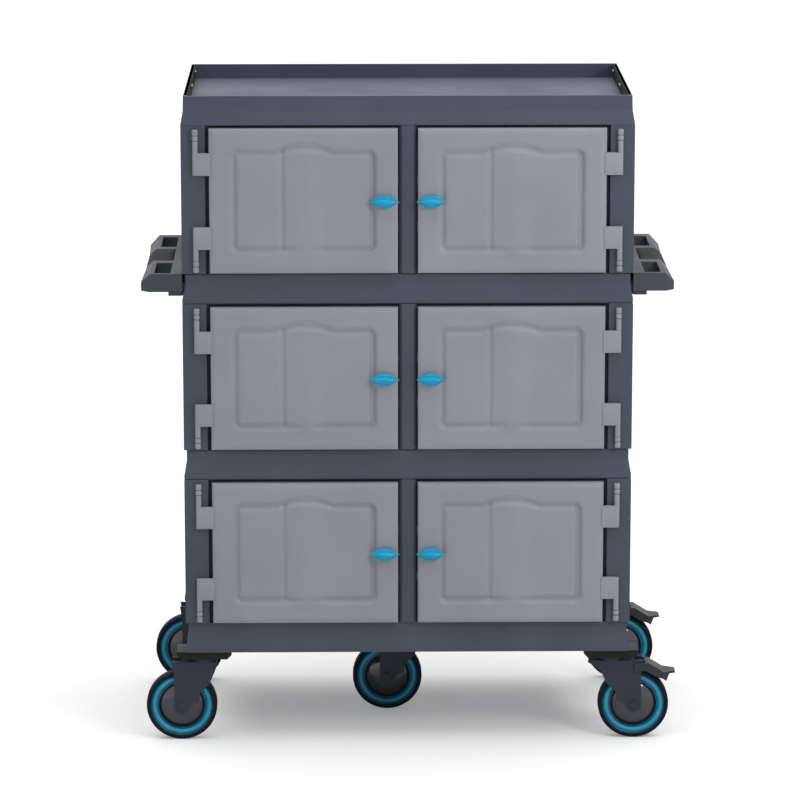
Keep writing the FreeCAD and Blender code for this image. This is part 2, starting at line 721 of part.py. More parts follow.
def make_handles():
    """Push handles: two hand holes, a sunk grip pad, a stub below and a root in the neck."""
    outer = "(body_width / 2 + handle_reach)"
    pocket_inner = "(body_width / 2 + handle_root)"
    hole_spread = "(handle_length / 2 - hand_hole_inset)"
    pads = []
    for side, sign in SIDES.items():
        label = f"handle_{side}"
        slab = handle_form(label, sign)
        stub = box(label + "_stub", "stub_reach", "stub_length", "stub_drop",
                   f"{sign} * (body_width / 2 + stub_reach / 2)",
                   f"{HANDLE_MID} - stub_length / 2", f"{HANDLE_LOW} - stub_drop")
        neck_low = f"({band_under(2)} + band_height - neck_height)"
        flange = box(label + "_flange", "neck_step", "flange_length", "neck_height",
                     f"{sign} * (body_width / 2 - neck_step / 2)",
                     f"{HANDLE_MID} - flange_length / 2", neck_low)
        holes = [box(f"{label}_hole_{k}", "hand_hole_width", "hand_hole_length",
                     "2 * handle_height", f"{sign} * ({pocket_inner} + hand_hole_width / 2)",
                     f"{GRIP_MID} + {k} * {hole_spread} - hand_hole_length / 2",
                     f"{HANDLE_LOW} - handle_height / 2") for k in (-1, 1)]
        pad_low = f"({HANDLE_TOP} - handle_bevel)"
        pocket_width = f"({outer} - {pocket_inner})"
        pocket = box(label + "_pocket", pocket_width, "pad_length", "2 * handle_bevel",
                     f"{sign} * ({pocket_inner} + {pocket_width} / 2)",
                     f"{GRIP_MID} - pad_length / 2", pad_low)
        form = union(label + "_form", slab, stub, flange)
        node(cut(label, form, *holes, pocket), label)
        grip = pad(label + "_pad", "XZ_Plane", [
            (f"{sign} * {pocket_inner}", pad_low),
            (f"{sign} * ({outer} - handle_waist)", pad_low),
            (f"{sign} * ({outer} - handle_waist)", f"{HANDLE_TOP} - handle_bevel + handle_waist"),
            (f"{sign} * ({outer} - handle_bevel + pad_drop)", f"{HANDLE_TOP} - pad_drop"),
            (f"{sign} * {pocket_inner}", f"{HANDLE_TOP} - pad_drop")], "pad_length",
            midplane=True)
        pads.append(bind(grip, place_y=GRIP_MID))
    node(group("handle_pads", pads), "handle_pads")


# ------------------------------------------------------------------ casters


def bolt_places():
    """Plan position of every caster bolt."""
    return [(f"({x} + {i} * bolt_spread_x / 2)", f"({y} + {j} * bolt_spread_y / 2)")
            for x, y, _, _ in CASTERS.values() for i in (-1, 1) for j in (-1, 1)]


def make_caster_plates():
    """Fixed top plates with bevelled ends, sunk bolt heads and a seat for the kingpin."""
    plates, pins = [], []
    for name, (x, y, _, _) in CASTERS.items():
        half, bevel = "plate_length / 2", "plate_bevel"
        plate = pad(f"plate_{name}", "XZ_Plane", [
            (f"-{half} + {bevel}", "0"), (f"{half} - {bevel}", "0"), (half, bevel),
            (half, "plate_thickness"), (f"-{half}", "plate_thickness"), (f"-{half}", bevel)],
            "plate_depth", midplane=True)
        bind(plate, place_x=x, place_y=y, place_z=PLATE_LOW)
        tools = [rod(f"plate_{name}_seat", "kingpin_radius", "kingpin_seat", x, y, PLATE_LOW)]
        for i in (-1, 1):
            for j in (-1, 1):
                at = (f"{x} + {i} * bolt_spread_x / 2", f"{y} + {j} * bolt_spread_y / 2")
                tag = f"plate_{name}_{len(tools)}"
                tools.append(rod(tag + "_hole", "bolt_radius + bolt_clearance",
                                 "plate_thickness", *at, PLATE_LOW))
                tools.append(rod(tag + "_bore", "bolt_head_radius + counterbore_extra",
                                 "bolt_head_height + counterbore_extra", *at, PLATE_LOW))
        plates.append(cut(f"plate_{name}_cut", plate, *tools))
        under = f"({CROWN_TOP} - crown_thickness - swivel_gap - kingpin_flange_height)"
        flange = rod(f"kingpin_{name}_flange", "kingpin_flange", "kingpin_flange_height",
                     x, y, under)
        shank = rod(f"kingpin_{name}_shank", "kingpin_radius",
                    f"{PLATE_LOW} + kingpin_seat - {under}", x, y, under)
        pins.append(union(f"kingpin_{name}", flange, shank))
    node(group("caster_plates", plates), "caster_plates")
    node(group("kingpins", pins), "kingpins")


def make_plate_bolts():
    """Bolts that hold the plates to the base, heads sunk in the plates."""
    head_low = f"({PLATE_LOW} + counterbore_extra)"
    bolts = []
    for k, (x, y) in enumerate(bolt_places()):
        head = doc.addObject("Part::Prism", f"bolt_{k}_head")
        head.Polygon = 6
        bind(head, Circumradius="bolt_head_radius", Height="bolt_head_height", place_x=x,
             place_y=y, place_z=head_low)
        shank = rod(f"bolt_{k}_shank", "bolt_radius",
                    f"{BASE_BOTTOM} + bolt_grip - {head_low}", x, y, head_low)
        bolts.append(union(f"bolt_{k}", head, shank))
    node(group("plate_bolts", bolts), "plate_bolts")


def leg_outline(way, nose):
    """Side view of a fork leg, from its nose under the plate down to the axle line."""
    axle_x = f"{way} * trail"
    return [
        (f"-({way}) * {nose}", CROWN_TOP), (f"-({way}) * {nose}", f"{CROWN_TOP} - nose_height"),
        (f"-({way}) * leg_back", f"{CROWN_TOP} - leg_back_drop"),
        (f"-({way}) * leg_waist", "wheel_radius + leg_waist_up"),
        (f"{way} * leg_elbow", "wheel_radius + leg_column_up"),
        (f"{way} * leg_elbow", "wheel_radius + leg_elbow_up"),
        (f"{axle_x} - {way} * leg_end_radius", "wheel_radius"),
        (f"{axle_x} + {way} * leg_end_radius", "wheel_radius"),
        (f"{axle_x} + {way} * leg_front", "wheel_radius + leg_front_up"),
        (f"{axle_x} + {way} * leg_front", f"{CROWN_TOP} - leg_front_drop"),
        (f"{axle_x} + {way} * leg_front_top", CROWN_TOP)]


def make_fork(name, x, y, way, braked):
    """Fork: a swivel head, a crown and two legs that narrow to a round axle end."""
    label = f"fork_{name}"
    axle_x = f"{x} + {way} * trail"
    pieces = []
    for j in (-1, 1):
        inner_face = f"{y} + {j} * {FORK_GAP} / 2"
        mid = f"{inner_face} + {j} * leg_thickness / 2"
        leg = pad(f"{label}_leg_{j + 1}", "XZ_Plane",
                  leg_outline(way, "braked_nose" if braked else "leg_nose"), "leg_thickness",
                  midplane=True)
        bind(leg, place_x=x, place_y=mid, place_z="0")
        end = rod(f"{label}_end_{j + 1}", "leg_end_radius", "leg_thickness", axle_x,
                  f"{mid} - leg_thickness / 2", "wheel_radius", "y")
        pieces += [leg, end]
    crown = box(label + "_crown", "trail + head_radius", f"{FORK_GAP} + 2 * leg_thickness",
                "crown_thickness", f"{x} + {way} * (trail - head_radius) / 2",
                f"{y} - {FORK_GAP} / 2 - leg_thickness", f"{CROWN_TOP} - crown_thickness")
    head = rod(label + "_head", "head_radius", "head_height", x, y, CROWN_TOP)
    bore = rod(label + "_bore", "kingpin_radius + running_clearance",
               "crown_thickness + head_height", x, y, f"{CROWN_TOP} - crown_thickness")
    axle_hole = rod(label + "_axle_hole", "axle_radius + axle_fit", f"2 * {FORK_GAP}",
                    axle_x, f"{y} - {FORK_GAP}", "wheel_radius", "y")
    tools = [bore, axle_hole]
    if braked:
        tools.append(rod(label + "_pivot_hole", "pedal_pin_radius + running_clearance",
                         f"2 * {FORK_GAP}", f"{x} + {way} * pedal_pivot_out",
                         f"{y} - {FORK_GAP}", f"{CROWN_TOP} - pedal_pivot_drop", "y"))
    node(cut(label, union(label + "_form", crown, head, *pieces), *tools), label)


def make_axle(name, x, y, way):
    """Axle with a low cap outside each leg."""
    label = f"axle_{name}"
    at = f"{x} + {way} * trail"
    outside = f"({FORK_GAP} / 2 + leg_thickness)"
    shaft = rod(label + "_shaft", "axle_radius", f"2 * {outside}", at, f"{y} - {outside}",
                "wheel_radius", "y")
    caps = [rod(f"{label}_cap_{k}", "axle_cap_radius", "axle_cap_height", at, start,
                "wheel_radius", "y")
            for k, start in enumerate((f"{y} - {outside} - axle_cap_height",
                                       f"{y} + {outside}"))]
    node(union(label, shaft, *caps), label)


def quarter(across, up, radius, start):
    """Corner points of a quarter circle about a point, from a start angle in degrees."""
    turns = [math.radians(start + 90 * step / 4) for step in range(5)]
    return [(f"{across} + {radius} * {math.cos(turn):.6f}",
             f"{up} + {radius} * {math.sin(turn):.6f}") for turn in turns]


def make_wheel(name, x, y, way):
    """Wheel: a rubber tyre on a dished hub with a full-width boss."""
    at = {"place_x": f"{x} + {way} * trail", "place_y": y, "place_z": "wheel_radius"}
    half = "tyre_width / 2"
    shoulder = ("wheel_radius - tyre_round", "tyre_round")
    tyre = turned_body(f"tyre_{name}", [
        (f"-{half}", "tyre_bore"), (half, "tyre_bore"),
        *quarter(f"{half} - tyre_round", *shoulder, 0),
        *quarter(f"-{half} + tyre_round", *shoulder, 90)])
    node(bind(tyre, **at), f"tyre_{name}")
    bore = "axle_radius + running_clearance"
    boss = f"({FORK_GAP} / 2 - boss_side_gap)"
    web, rim, seat = "hub_web_width / 2", f"({half} - hub_rim_inset)", "tyre_bore - tyre_fit"
    shelf = "(tyre_bore - hub_rim_wall)"
    right = [(boss, bore), (boss, "hub_boss_radius"), (web, "hub_boss_radius + hub_boss_slope"),
             (web, f"{shelf} - hub_rim_slope"), (rim, shelf), (rim, seat)]
    left = [(f"-({a})", b) for a, b in reversed(right)]
    hub = turned_body(f"hub_{name}", right + left)
    node(bind(hub, **at), f"hub_{name}")


def make_pedal(name, x, y, way):
    """Brake pedal: two cheeks outside the fork, a web over the tyre, a toe and a shoe."""
    label = f"pedal_{name}"
    toe_top, toe_low = "-pedal_toe_drop", "-pedal_toe_drop - pedal_toe"
    shoe_in = "shoe_out - shoe_width"
    front = [("pedal_step", toe_top), ("pedal_length", toe_top), ("pedal_length", toe_low),
             ("shoe_out + shoe_width", toe_low), ("shoe_out", "-shoe_drop"),
             (shoe_in, "-shoe_drop + shoe_rise")]
    side_view = [("-pedal_heel", "-pedal_heel"), ("-pedal_heel", "pedal_heel"),
                 ("pedal_crest_out", "pedal_crest_up"), *front,
                 ("cheek_waist_out", "-cheek_waist_drop"),
                 ("cheek_waist_out - pedal_crest_out", "-pedal_heel")]
    end_view = [("pedal_web_start", "pedal_crest_up - pedal_web"),
                ("pedal_web_start", "pedal_crest_up"), ("pedal_crest_out", "pedal_crest_up"),
                *front, (f"{shoe_in} - shoe_width", "-pedal_heel")]
    up = f"({CROWN_TOP} - pedal_pivot_drop)"

    def profile(points):
        return [(f"{way} * (pedal_pivot_out + {a})", f"{up} + {b}") for a, b in points]

    inner = f"({FORK_GAP} / 2 + leg_thickness + cheek_gap)"
    pieces = []
    for j in (-1, 1):
        cheek = pad(f"{label}_cheek_{j + 1}", "XZ_Plane", profile(side_view),
                    "cheek_thickness", midplane=True)
        bind(cheek, place_x=x, place_y=f"{y} + {j} * ({inner} + cheek_thickness / 2)",
             place_z="0")
        pin_mid = f"{y} + {j} * ({FORK_GAP} / 2 + {inner} + cheek_thickness) / 2"
        pin_length = f"({inner} + cheek_thickness - {FORK_GAP} / 2)"
        pin = rod(f"{label}_pin_{j + 1}", "pedal_pin_radius", pin_length,
                  f"{x} + {way} * pedal_pivot_out", f"{pin_mid} - {pin_length} / 2", up, "y")
        pieces += [cheek, pin]
    full = f"({inner} + cheek_thickness)"
    bridge = pad(f"{label}_bridge", "XZ_Plane", profile(end_view), f"2 * {full}",
                 midplane=True)
    bind(bridge, place_x=x, place_y=y, place_z="0")
    plan = [("-2 * pedal_heel", f"-{full}"), ("pedal_step", f"-{full}"),
            ("pedal_length", "-pedal_toe_width / 2"), ("pedal_length", "pedal_toe_width / 2"),
            ("pedal_step", full), ("-2 * pedal_heel", full)]
    taper = pad(f"{label}_taper", "XY_Plane",
                [(f"{way} * (pedal_pivot_out + {a})", b) for a, b in plan], CROWN_TOP)
    bind(taper, place_x=x, place_y=y, place_z="0")
    pedal = doc.addObject("Part::MultiCommon", label + "_tapered")
    pedal.Shapes = [union(label + "_form", bridge, *pieces), taper]
    node(pedal, label)


def make_casters():
    """Five casters; the right-hand pair at the corners has brake pedals."""
    make_caster_plates()
    make_plate_bolts()
    for name, (x, y, way, braked) in CASTERS.items():
        make_fork(name, x, y, way, braked)
        make_axle(name, x, y, way)
        make_wheel(name, x, y, way)
        if braked:
            make_pedal(name, x, y, way)


# ------------------------------------------------------------------ build and write

make_decks()
make_top_tray()
make_walls()
make_partitions()
make_back_panels()
make_tray_runners()
make_doors()
make_door_seals()
make_hinge_hardware()
make_latches()
make_handles()
make_casters()
doc.recompute()

for thing in doc.Objects:
    if "Invalid" in thing.State or "Error" in thing.State:
        raise RuntimeError(f"{thing.Label} failed: {thing.State}")
for part_node in nodes:
    shape = part_node.Shape
    if shape.isNull() or not shape.isValid() or shape.Volume <= 0:
        raise RuntimeError(f"{part_node.Label} has no valid shape")
    shape.exportStep(os.path.join("parts", part_node.Label + ".step"))
    print(f"{part_node.Label}: {len(shape.Solids)} solid(s), {shape.Volume / 1000:.1f} cm3")
print(f"{len(nodes)} nodes written")
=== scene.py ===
# %% [markdown]
# # Enclosed meal tray cart
#
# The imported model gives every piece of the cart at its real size.  This script dresses it: the
# moulded tiers and the casters' forks keep their solids and get rounded edges and a finish,
# and the doors, hinge knuckles, latches, grips and wheels are drawn again as finer surfaces
# that ride on the same bodies.  All lengths are in metres; the doors face -Y.

# %% Load the frame
import json
import bpy
import numpy as np
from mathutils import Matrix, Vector


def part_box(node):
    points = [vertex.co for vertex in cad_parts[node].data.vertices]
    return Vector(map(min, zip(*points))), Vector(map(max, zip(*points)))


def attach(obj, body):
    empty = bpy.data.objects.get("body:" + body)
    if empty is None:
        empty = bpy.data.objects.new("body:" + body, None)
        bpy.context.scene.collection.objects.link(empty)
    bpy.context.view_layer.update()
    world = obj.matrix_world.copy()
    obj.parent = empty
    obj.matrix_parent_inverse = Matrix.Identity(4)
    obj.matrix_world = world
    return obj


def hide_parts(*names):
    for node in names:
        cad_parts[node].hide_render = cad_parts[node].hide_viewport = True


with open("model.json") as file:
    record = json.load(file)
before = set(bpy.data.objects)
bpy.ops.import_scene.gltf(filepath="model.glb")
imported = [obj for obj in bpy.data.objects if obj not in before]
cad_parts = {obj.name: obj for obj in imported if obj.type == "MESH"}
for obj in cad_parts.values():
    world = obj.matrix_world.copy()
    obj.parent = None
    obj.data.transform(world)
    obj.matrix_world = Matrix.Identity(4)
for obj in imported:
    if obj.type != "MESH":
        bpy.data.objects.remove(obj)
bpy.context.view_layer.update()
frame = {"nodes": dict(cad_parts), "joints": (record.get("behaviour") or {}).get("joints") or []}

joints = {joint["name"]: joint for joint in frame["joints"]}
SIDES = {"left": -1.0, "right": 1.0}
TIERS = ("lower", "middle", "upper")
CASTERS = ("front_left", "front_right", "rear_left", "rear_right", "centre")

# %% [markdown]
# ## From rings of points to a closed mesh
#
# A moulded or turned part can be modelled by pushing a primitive's vertices about, or worked
# out as a surface.  The second way keeps every size as a value, so it is used for all new
# pieces: a surface is a grid of points, computed as whole arrays, and neighbours in the grid
# are joined by quads.  The signed volume of each shell tells which way its faces point.

# %% Grids, shells and pieces


def quads(rows, columns, close_columns=True):
    """Faces of a grid whose point (i, j) has index i * columns + j."""
    i = np.arange(rows - 1)[:, None]
    j = np.arange(columns if close_columns else columns - 1)[None, :]
    k = (j + 1) % columns
    corners = (i * columns + j, i * columns + k, (i + 1) * columns + k, (i + 1) * columns + j)
    return np.stack(np.broadcast_arrays(*corners), axis=-1).reshape(-1, 4)


def loft(rings):
    """A closed shell through a stack of rings (m, n, 3), with a flat cap at each end."""
    rows, columns, _ = rings.shape
    first = np.arange(columns)[None, ::-1]
    last = (rows - 1) * columns + np.arange(columns)[None, :]
    return rings.reshape(-1, 3), [quads(rows, columns), first, last]


def ring_shell(rings):
    """A shell that closes on itself both ways, such as a tyre."""
    rows, columns, _ = rings.shape
    closed = np.concatenate([rings, rings[:1]])
    return rings.reshape(-1, 3), [quads(*closed.shape[:2]) % (rows * columns)]


def outward(points, faces):
    """Turn a shell's faces out: its signed volume is the sum of a . (b x c) / 6 over its fans."""
    volume = 0.0
    for block in faces:
        first = points[block[:, 0]]
        for k in range(1, block.shape[1] - 1):
            b, c = points[block[:, k]], points[block[:, k + 1]]
            volume += np.einsum("ij,ij->", first, np.cross(b, c)) / 6.0
    return faces if volume > 0 else [block[:, ::-1] for block in faces]


def make_piece(name, shells, material, body, replaced=(), crease=32.0):
    """One object at the origin from closed shells; edges sharper than crease stay crisp."""
    points, faces, start = [], [], 0
    for shell_points, shell_faces in shells:
        for block in outward(shell_points, shell_faces):
            faces += (block + start).tolist()
        points.append(shell_points)
        start += len(shell_points)
    mesh = bpy.data.meshes.new(name)
    mesh.from_pydata(np.concatenate(points), [], faces)
    mesh.shade_smooth()
    mesh.set_sharp_from_angle(angle=np.radians(crease))
    mesh.materials.append(material)
    piece = bpy.data.objects.new(name, mesh)
    bpy.context.scene.collection.objects.link(piece)
    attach(piece, body)
    if replaced:
        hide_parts(*replaced)
    print(f"{name}: {len(mesh.polygons)} faces on {body}")
    return piece


# %% [markdown]
# ## Colours and shader nodes
#
# Colours are written as sRGB hex values, the way a paint or resin card gives them, and one
# function turns them to the linear values that the renderer adds light in.  One more small
# function adds a shader node with its settings and links, so a material reads as a short list.

# %% Helpers for materials


def linear(hex_colour):
    """sRGB hex to linear RGBA: c / 12.92 in the toe, ((c + 0.055) / 1.055) ^ 2.4 above it."""
    c = np.array([int(hex_colour[k:k + 2], 16) for k in (1, 3, 5)]) / 255.0
    rgb = np.where(c <= 0.04045, c / 12.92, ((c + 0.055) / 1.055) ** 2.4)
    return (*rgb.tolist(), 1.0)


def put(tree, kind, inputs=None, **settings):
    """Add a node: settings are its own properties, inputs are values or sockets to link."""
    new = tree.nodes.new(kind)
    for name, value in settings.items():
        setattr(new, name, value)
    for name, value in (inputs or {}).items():
        if isinstance(value, bpy.types.NodeSocket):
            tree.links.new(value, new.inputs[name])
        else:
            new.inputs[name].default_value = value
    return new


def start_material(name, **sockets):
    """A Principled material with these constant sockets; returns it, its tree and shader."""
    material = bpy.data.materials.new(name)
    material.use_nodes = True
    tree = material.node_tree
    tree.nodes.clear()
    shader = put(tree, "ShaderNodeBsdfPrincipled", sockets)
    put(tree, "ShaderNodeOutputMaterial", {"Surface": shader.outputs["BSDF"]})
    return material, tree, shader


def pattern(tree, scale, detail=2.0, roughness=0.5, stretch=(1.0, 1.0, 1.0)):
    """Noise with about scale cells to the metre, stretched along the axes of the object."""
    place = put(tree, "ShaderNodeTexCoord")
    turn = put(tree, "ShaderNodeMapping", {"Vector": place.outputs["Object"], "Scale": stretch})
    return put(tree, "ShaderNodeTexNoise", {
        "Vector": turn.outputs["Vector"], "Scale": scale, "Detail": detail,
        "Roughness": roughness}).outputs["Fac"]


def between(tree, factor, low, high):
    """A number that follows factor from low to high."""
    return put(tree, "ShaderNodeMapRange", {
        "Value": factor, "From Min": 0.3, "From Max": 0.7, "To Min": low,
        "To Max": high}).outputs["Result"]


def shades(tree, factor, low, high):
    """A colour that follows factor between two hex colours."""
    ramp = put(tree, "ShaderNodeValToRGB", {"Fac": factor})
    for stop, place, colour in zip(ramp.color_ramp.elements, (0.32, 0.68), (low, high)):
        stop.position, stop.color = place, linear(colour)
    return ramp.outputs["Color"]


def rough(tree, height, depth, normal=None):
    """A bump whose relief is depth metres from the darkest to the brightest of height."""
    inputs = {"Height": height, "Distance": depth, "Strength": 1.0}
    if normal is not None:
        inputs["Normal"] = normal
    return put(tree, "ShaderNodeBump", inputs).outputs["Normal"]


# %% [markdown]
# ## Moulded polyethylene
#
# The tiers, the tray, the handles and the doors of such carts are rotation-moulded
# polyethylene.  Its tool is blasted or etched, which leaves a fine leather-like grain, and the
# resin cools unevenly, so the sheen wanders over a hand's width.  The grain is about 1 mm on
# the real skin; it is drawn here at 2.2 mm so that it shows at this distance.

# %% Polyethylene in its colours
GRAIN_SIZE, GRAIN_DEPTH = 0.0022, 0.00012
RIPPLE_SIZE, RIPPLE_DEPTH = 0.09, 0.0006
CLOUD_SIZE = 0.16


def moulded_polyethylene(name, low, high, sheen_low=0.46, sheen_high=0.60):
    """Two close resin shades, a leather grain and a wandering sheen."""
    material, tree, shader = start_material(name, **{"IOR": 1.51, "Specular IOR Level": 0.26})
    cloud = pattern(tree, 1.0 / CLOUD_SIZE, detail=3.0)
    leather = pattern(tree, 1.0 / GRAIN_SIZE, detail=3.0, roughness=0.6)
    ripple = pattern(tree, 1.0 / RIPPLE_SIZE, detail=1.0)
    tree.links.new(shades(tree, cloud, low, high), shader.inputs["Base Color"])
    tree.links.new(between(tree, cloud, sheen_high, sheen_low), shader.inputs["Roughness"])
    wave = rough(tree, ripple, RIPPLE_DEPTH)
    tree.links.new(rough(tree, leather, GRAIN_DEPTH, wave), shader.inputs["Normal"])
    return material


charcoal = moulded_polyethylene("charcoal polyethylene", "#505464", "#575b6b")
deck_grey = moulded_polyethylene("deck polyethylene", "#4d5461", "#535a67")
light_grey = moulded_polyethylene("light grey polyethylene", "#9c9fa8", "#a3a6af", 0.42, 0.54)
slate = moulded_polyethylene("slate polyethylene", "#484b53", "#50535b")

# %% [markdown]
# ## Nylon, rubber and polyurethane
#
# The latches are injection-moulded nylon, dyed through and almost polished; the pedals and the
# wheel hubs are black nylon; the grips and tyres are rubber, which scatters light more widely
# and is never quite black; the wheel's blue ring is cast polyurethane.

# %% Nylon, rubber and polyurethane


def smooth_nylon(name, low, high, roughness, coat=0.0):
    """Dyed nylon: even colour, faint flow marks and a shine set by the mould's polish."""
    material, tree, shader = start_material(name, **{
        "IOR": 1.53, "Specular IOR Level": 0.3, "Coat Weight": coat, "Coat Roughness": 0.06})
    flow = pattern(tree, 60.0, detail=2.0, stretch=(0.4, 1.0, 1.0))
    fine = pattern(tree, 900.0, detail=1.0)
    tree.links.new(shades(tree, flow, low, high), shader.inputs["Base Color"])
    tree.links.new(between(tree, flow, roughness, roughness + 0.06), shader.inputs["Roughness"])
    tree.links.new(rough(tree, fine, 0.00002), shader.inputs["Normal"])
    return material


def rubber(name, low, high, bumps, depth, roughness=0.62):
    """Rubber: matte, dusty in places, with the fine pitting of its mould."""
    material, tree, shader = start_material(name, **{"IOR": 1.52, "Specular IOR Level": 0.2})
    dust = pattern(tree, 22.0, detail=4.0, roughness=0.65)
    pits = pattern(tree, bumps, detail=2.0)
    tree.links.new(shades(tree, dust, low, high), shader.inputs["Base Color"])
    tree.links.new(between(tree, dust, roughness, roughness + 0.16), shader.inputs["Roughness"])
    tree.links.new(rough(tree, pits, depth), shader.inputs["Normal"])
    return material


latch_blue = smooth_nylon("blue nylon", "#08a4d2", "#10b0dc", 0.2)
hub_black = smooth_nylon("black nylon hub", "#33353f", "#3a3c46", 0.12, coat=1.0)
pedal_black = smooth_nylon("glass-filled nylon", "#2e3034", "#36383c", 0.46)
grip_rubber = rubber("grip rubber", "#151618", "#1b1c1f", 500.0, 0.00012)
seal_rubber = rubber("seal rubber", "#474a58", "#505363", 500.0, 0.00010)
tyre_rubber = rubber("tyre rubber", "#0b0e15", "#12151d", 380.0, 0.00015)
ring_blue = smooth_nylon("blue polyurethane", "#229fc2", "#2eaccc", 0.28)
ring_dark = smooth_nylon("dark blue polyurethane", "#134d6d", "#195a7c", 0.3)

# %% [markdown]
# ## Metals
#
# The fork and plate of a hospital caster are pressed steel under powder paint, which levels to
# a faint orange peel.  Kingpins, hinge pins and bolts are zinc plated: bright, softly mottled.
# The tray runners are brushed stainless steel, so their scratches run along the rails.

# %% Powder paint, zinc and stainless steel


def powder_paint(name, low, high):
    """Powder coat: an orange peel of about 2.5 mm and a low satin gloss."""
    material, tree, shader = start_material(name, **{"IOR": 1.5, "Specular IOR Level": 0.24})
    peel = pattern(tree, 400.0, detail=1.0)
    tone = pattern(tree, 14.0, detail=2.0)
    tree.links.new(shades(tree, tone, low, high), shader.inputs["Base Color"])
    tree.links.new(between(tree, tone, 0.38, 0.5), shader.inputs["Roughness"])
    tree.links.new(rough(tree, peel, 0.00006), shader.inputs["Normal"])
    return material


def zinc_plate():
    """Zinc plating: metal with a cloudy roughness."""
    material, tree, shader = start_material("zinc plated steel", Metallic=1.0)
    mottle = pattern(tree, 160.0, detail=3.0)
    tree.links.new(shades(tree, mottle, "#8d9094", "#a3a6a9"), shader.inputs["Base Color"])
    tree.links.new(between(tree, mottle, 0.28, 0.42), shader.inputs["Roughness"])
    return material


def brushed_stainless():
    """Stainless steel brushed along Y: noise cells forty times longer than wide."""
    material, tree, shader = start_material("brushed stainless steel", Metallic=1.0)
    strokes = pattern(tree, 900.0, detail=2.0, stretch=(1.0, 0.025, 1.0))
    tree.links.new(shades(tree, strokes, "#9ea1a3", "#b4b6b8"), shader.inputs["Base Color"])
    tree.links.new(between(tree, strokes, 0.26, 0.4), shader.inputs["Roughness"])
    tree.links.new(rough(tree, strokes, 0.00002), shader.inputs["Normal"])
    return material


caster_paint = powder_paint("powder-coated steel", "#343746", "#3b3e4d")
zinc = zinc_plate()
# Painted shade: the plates' paint is made near black, darker than the forks', to stand in for the
# shadow the base deck casts on them.
plate_paint_painted_shade = powder_paint("black powder-coated steel", "#121418", "#17191e")
stainless = brushed_stainless()

# %% [markdown]
# ## Camera, floor and light
#
# The photograph is a long-lens studio shot from nearly straight ahead, a little above the tray.
# The camera stands 9.3 m away, a hand to the left, and looks down by 12 degrees; the lens gives
# a view as narrow as the photograph's.  The floor is pale enough to come out white in open
# light and keeps the cart's soft shadow.  A broad lamp overhead makes the tops brighter than
# the fronts, and a small one at the front right puts the bright spots on the wheel hubs.

# %% Camera
CAMERA_PLACE = (-0.135, -9.257, 2.712)
CAMERA_PITCH = 12.05
CAMERA_YAW = 0.86
FOCAL_PIXELS = 4129.3
FRAME_PIXELS = 800.0
SIDE_STEP_PIXELS = 7.9

lens = bpy.data.cameras.new("long_lens")
lens.sensor_width = 36.0
lens.lens = FOCAL_PIXELS / FRAME_PIXELS * lens.sensor_width
lens.shift_x = -SIDE_STEP_PIXELS / FRAME_PIXELS
lens.clip_end = 200.0
camera = bpy.data.objects.new("camera", lens)
camera.location = CAMERA_PLACE
camera.rotation_euler = (np.radians(90.0 - CAMERA_PITCH), 0.0, -np.radians(CAMERA_YAW))
bpy.context.scene.collection.objects.link(camera)
bpy.context.scene.camera = camera
bpy.context.scene.view_settings.view_transform = "Standard"
print("lens", round(lens.lens, 1), "mm")

# %% Lamps and world
DOME_STRENGTH = 0.275
WHITE = (1.0, 1.0, 1.0, 1.0)


def sun(name, strength, spread, tilt):
    """A lamp without falloff, tilted from straight down about X, in degrees."""
    lamp = bpy.data.lights.new(name, "SUN")
    lamp.energy, lamp.angle = strength, np.radians(spread)
    holder = bpy.data.objects.new(name, lamp)
    holder.rotation_euler = (np.radians(tilt), 0.0, 0.0)
    bpy.context.scene.collection.objects.link(holder)


def panel(name, power, size, place, aim):
    """A square lamp that faces a point and falls off with distance."""
    lamp = bpy.data.lights.new(name, "AREA")
    lamp.energy, lamp.size = power, size
    holder = bpy.data.objects.new(name, lamp)
    holder.location = place
    holder.rotation_euler = (Vector(aim) - Vector(place)).to_track_quat("-Z", "Y").to_euler()
    bpy.context.scene.collection.objects.link(holder)


sun("softbox_above", strength=2.2, spread=80.0, tilt=-4.0)
panel("window_right", power=24.0, size=0.78, place=(2.0, -2.4, 2.4), aim=(0.0, -0.3, 0.9))

world = bpy.data.worlds.new("studio")
world.use_nodes = True
bpy.context.scene.world = world
sky = world.node_tree
sky.nodes.clear()
rays = put(sky, "ShaderNodeLightPath").outputs
direct = put(sky, "ShaderNodeMath", {0: rays["Is Camera Ray"], 1: rays["Is Glossy Ray"]},
             operation="MAXIMUM").outputs["Value"]
seen = put(sky, "ShaderNodeMath", {0: direct, 1: rays["Is Transmission Ray"]},
           operation="MAXIMUM").outputs["Value"]
dome = put(sky, "ShaderNodeBackground", {"Color": WHITE, "Strength": DOME_STRENGTH})
backdrop = put(sky, "ShaderNodeBackground", {"Color": WHITE, "Strength": 1.0})
both = put(sky, "ShaderNodeMixShader", {0: seen, 1: dome.outputs[0], 2: backdrop.outputs[0]})
put(sky, "ShaderNodeOutputWorld", {"Surface": both.outputs[0]})

# %% Floor
FLOOR_HALF = 60.0
SHADOW_LIFT = 0.24


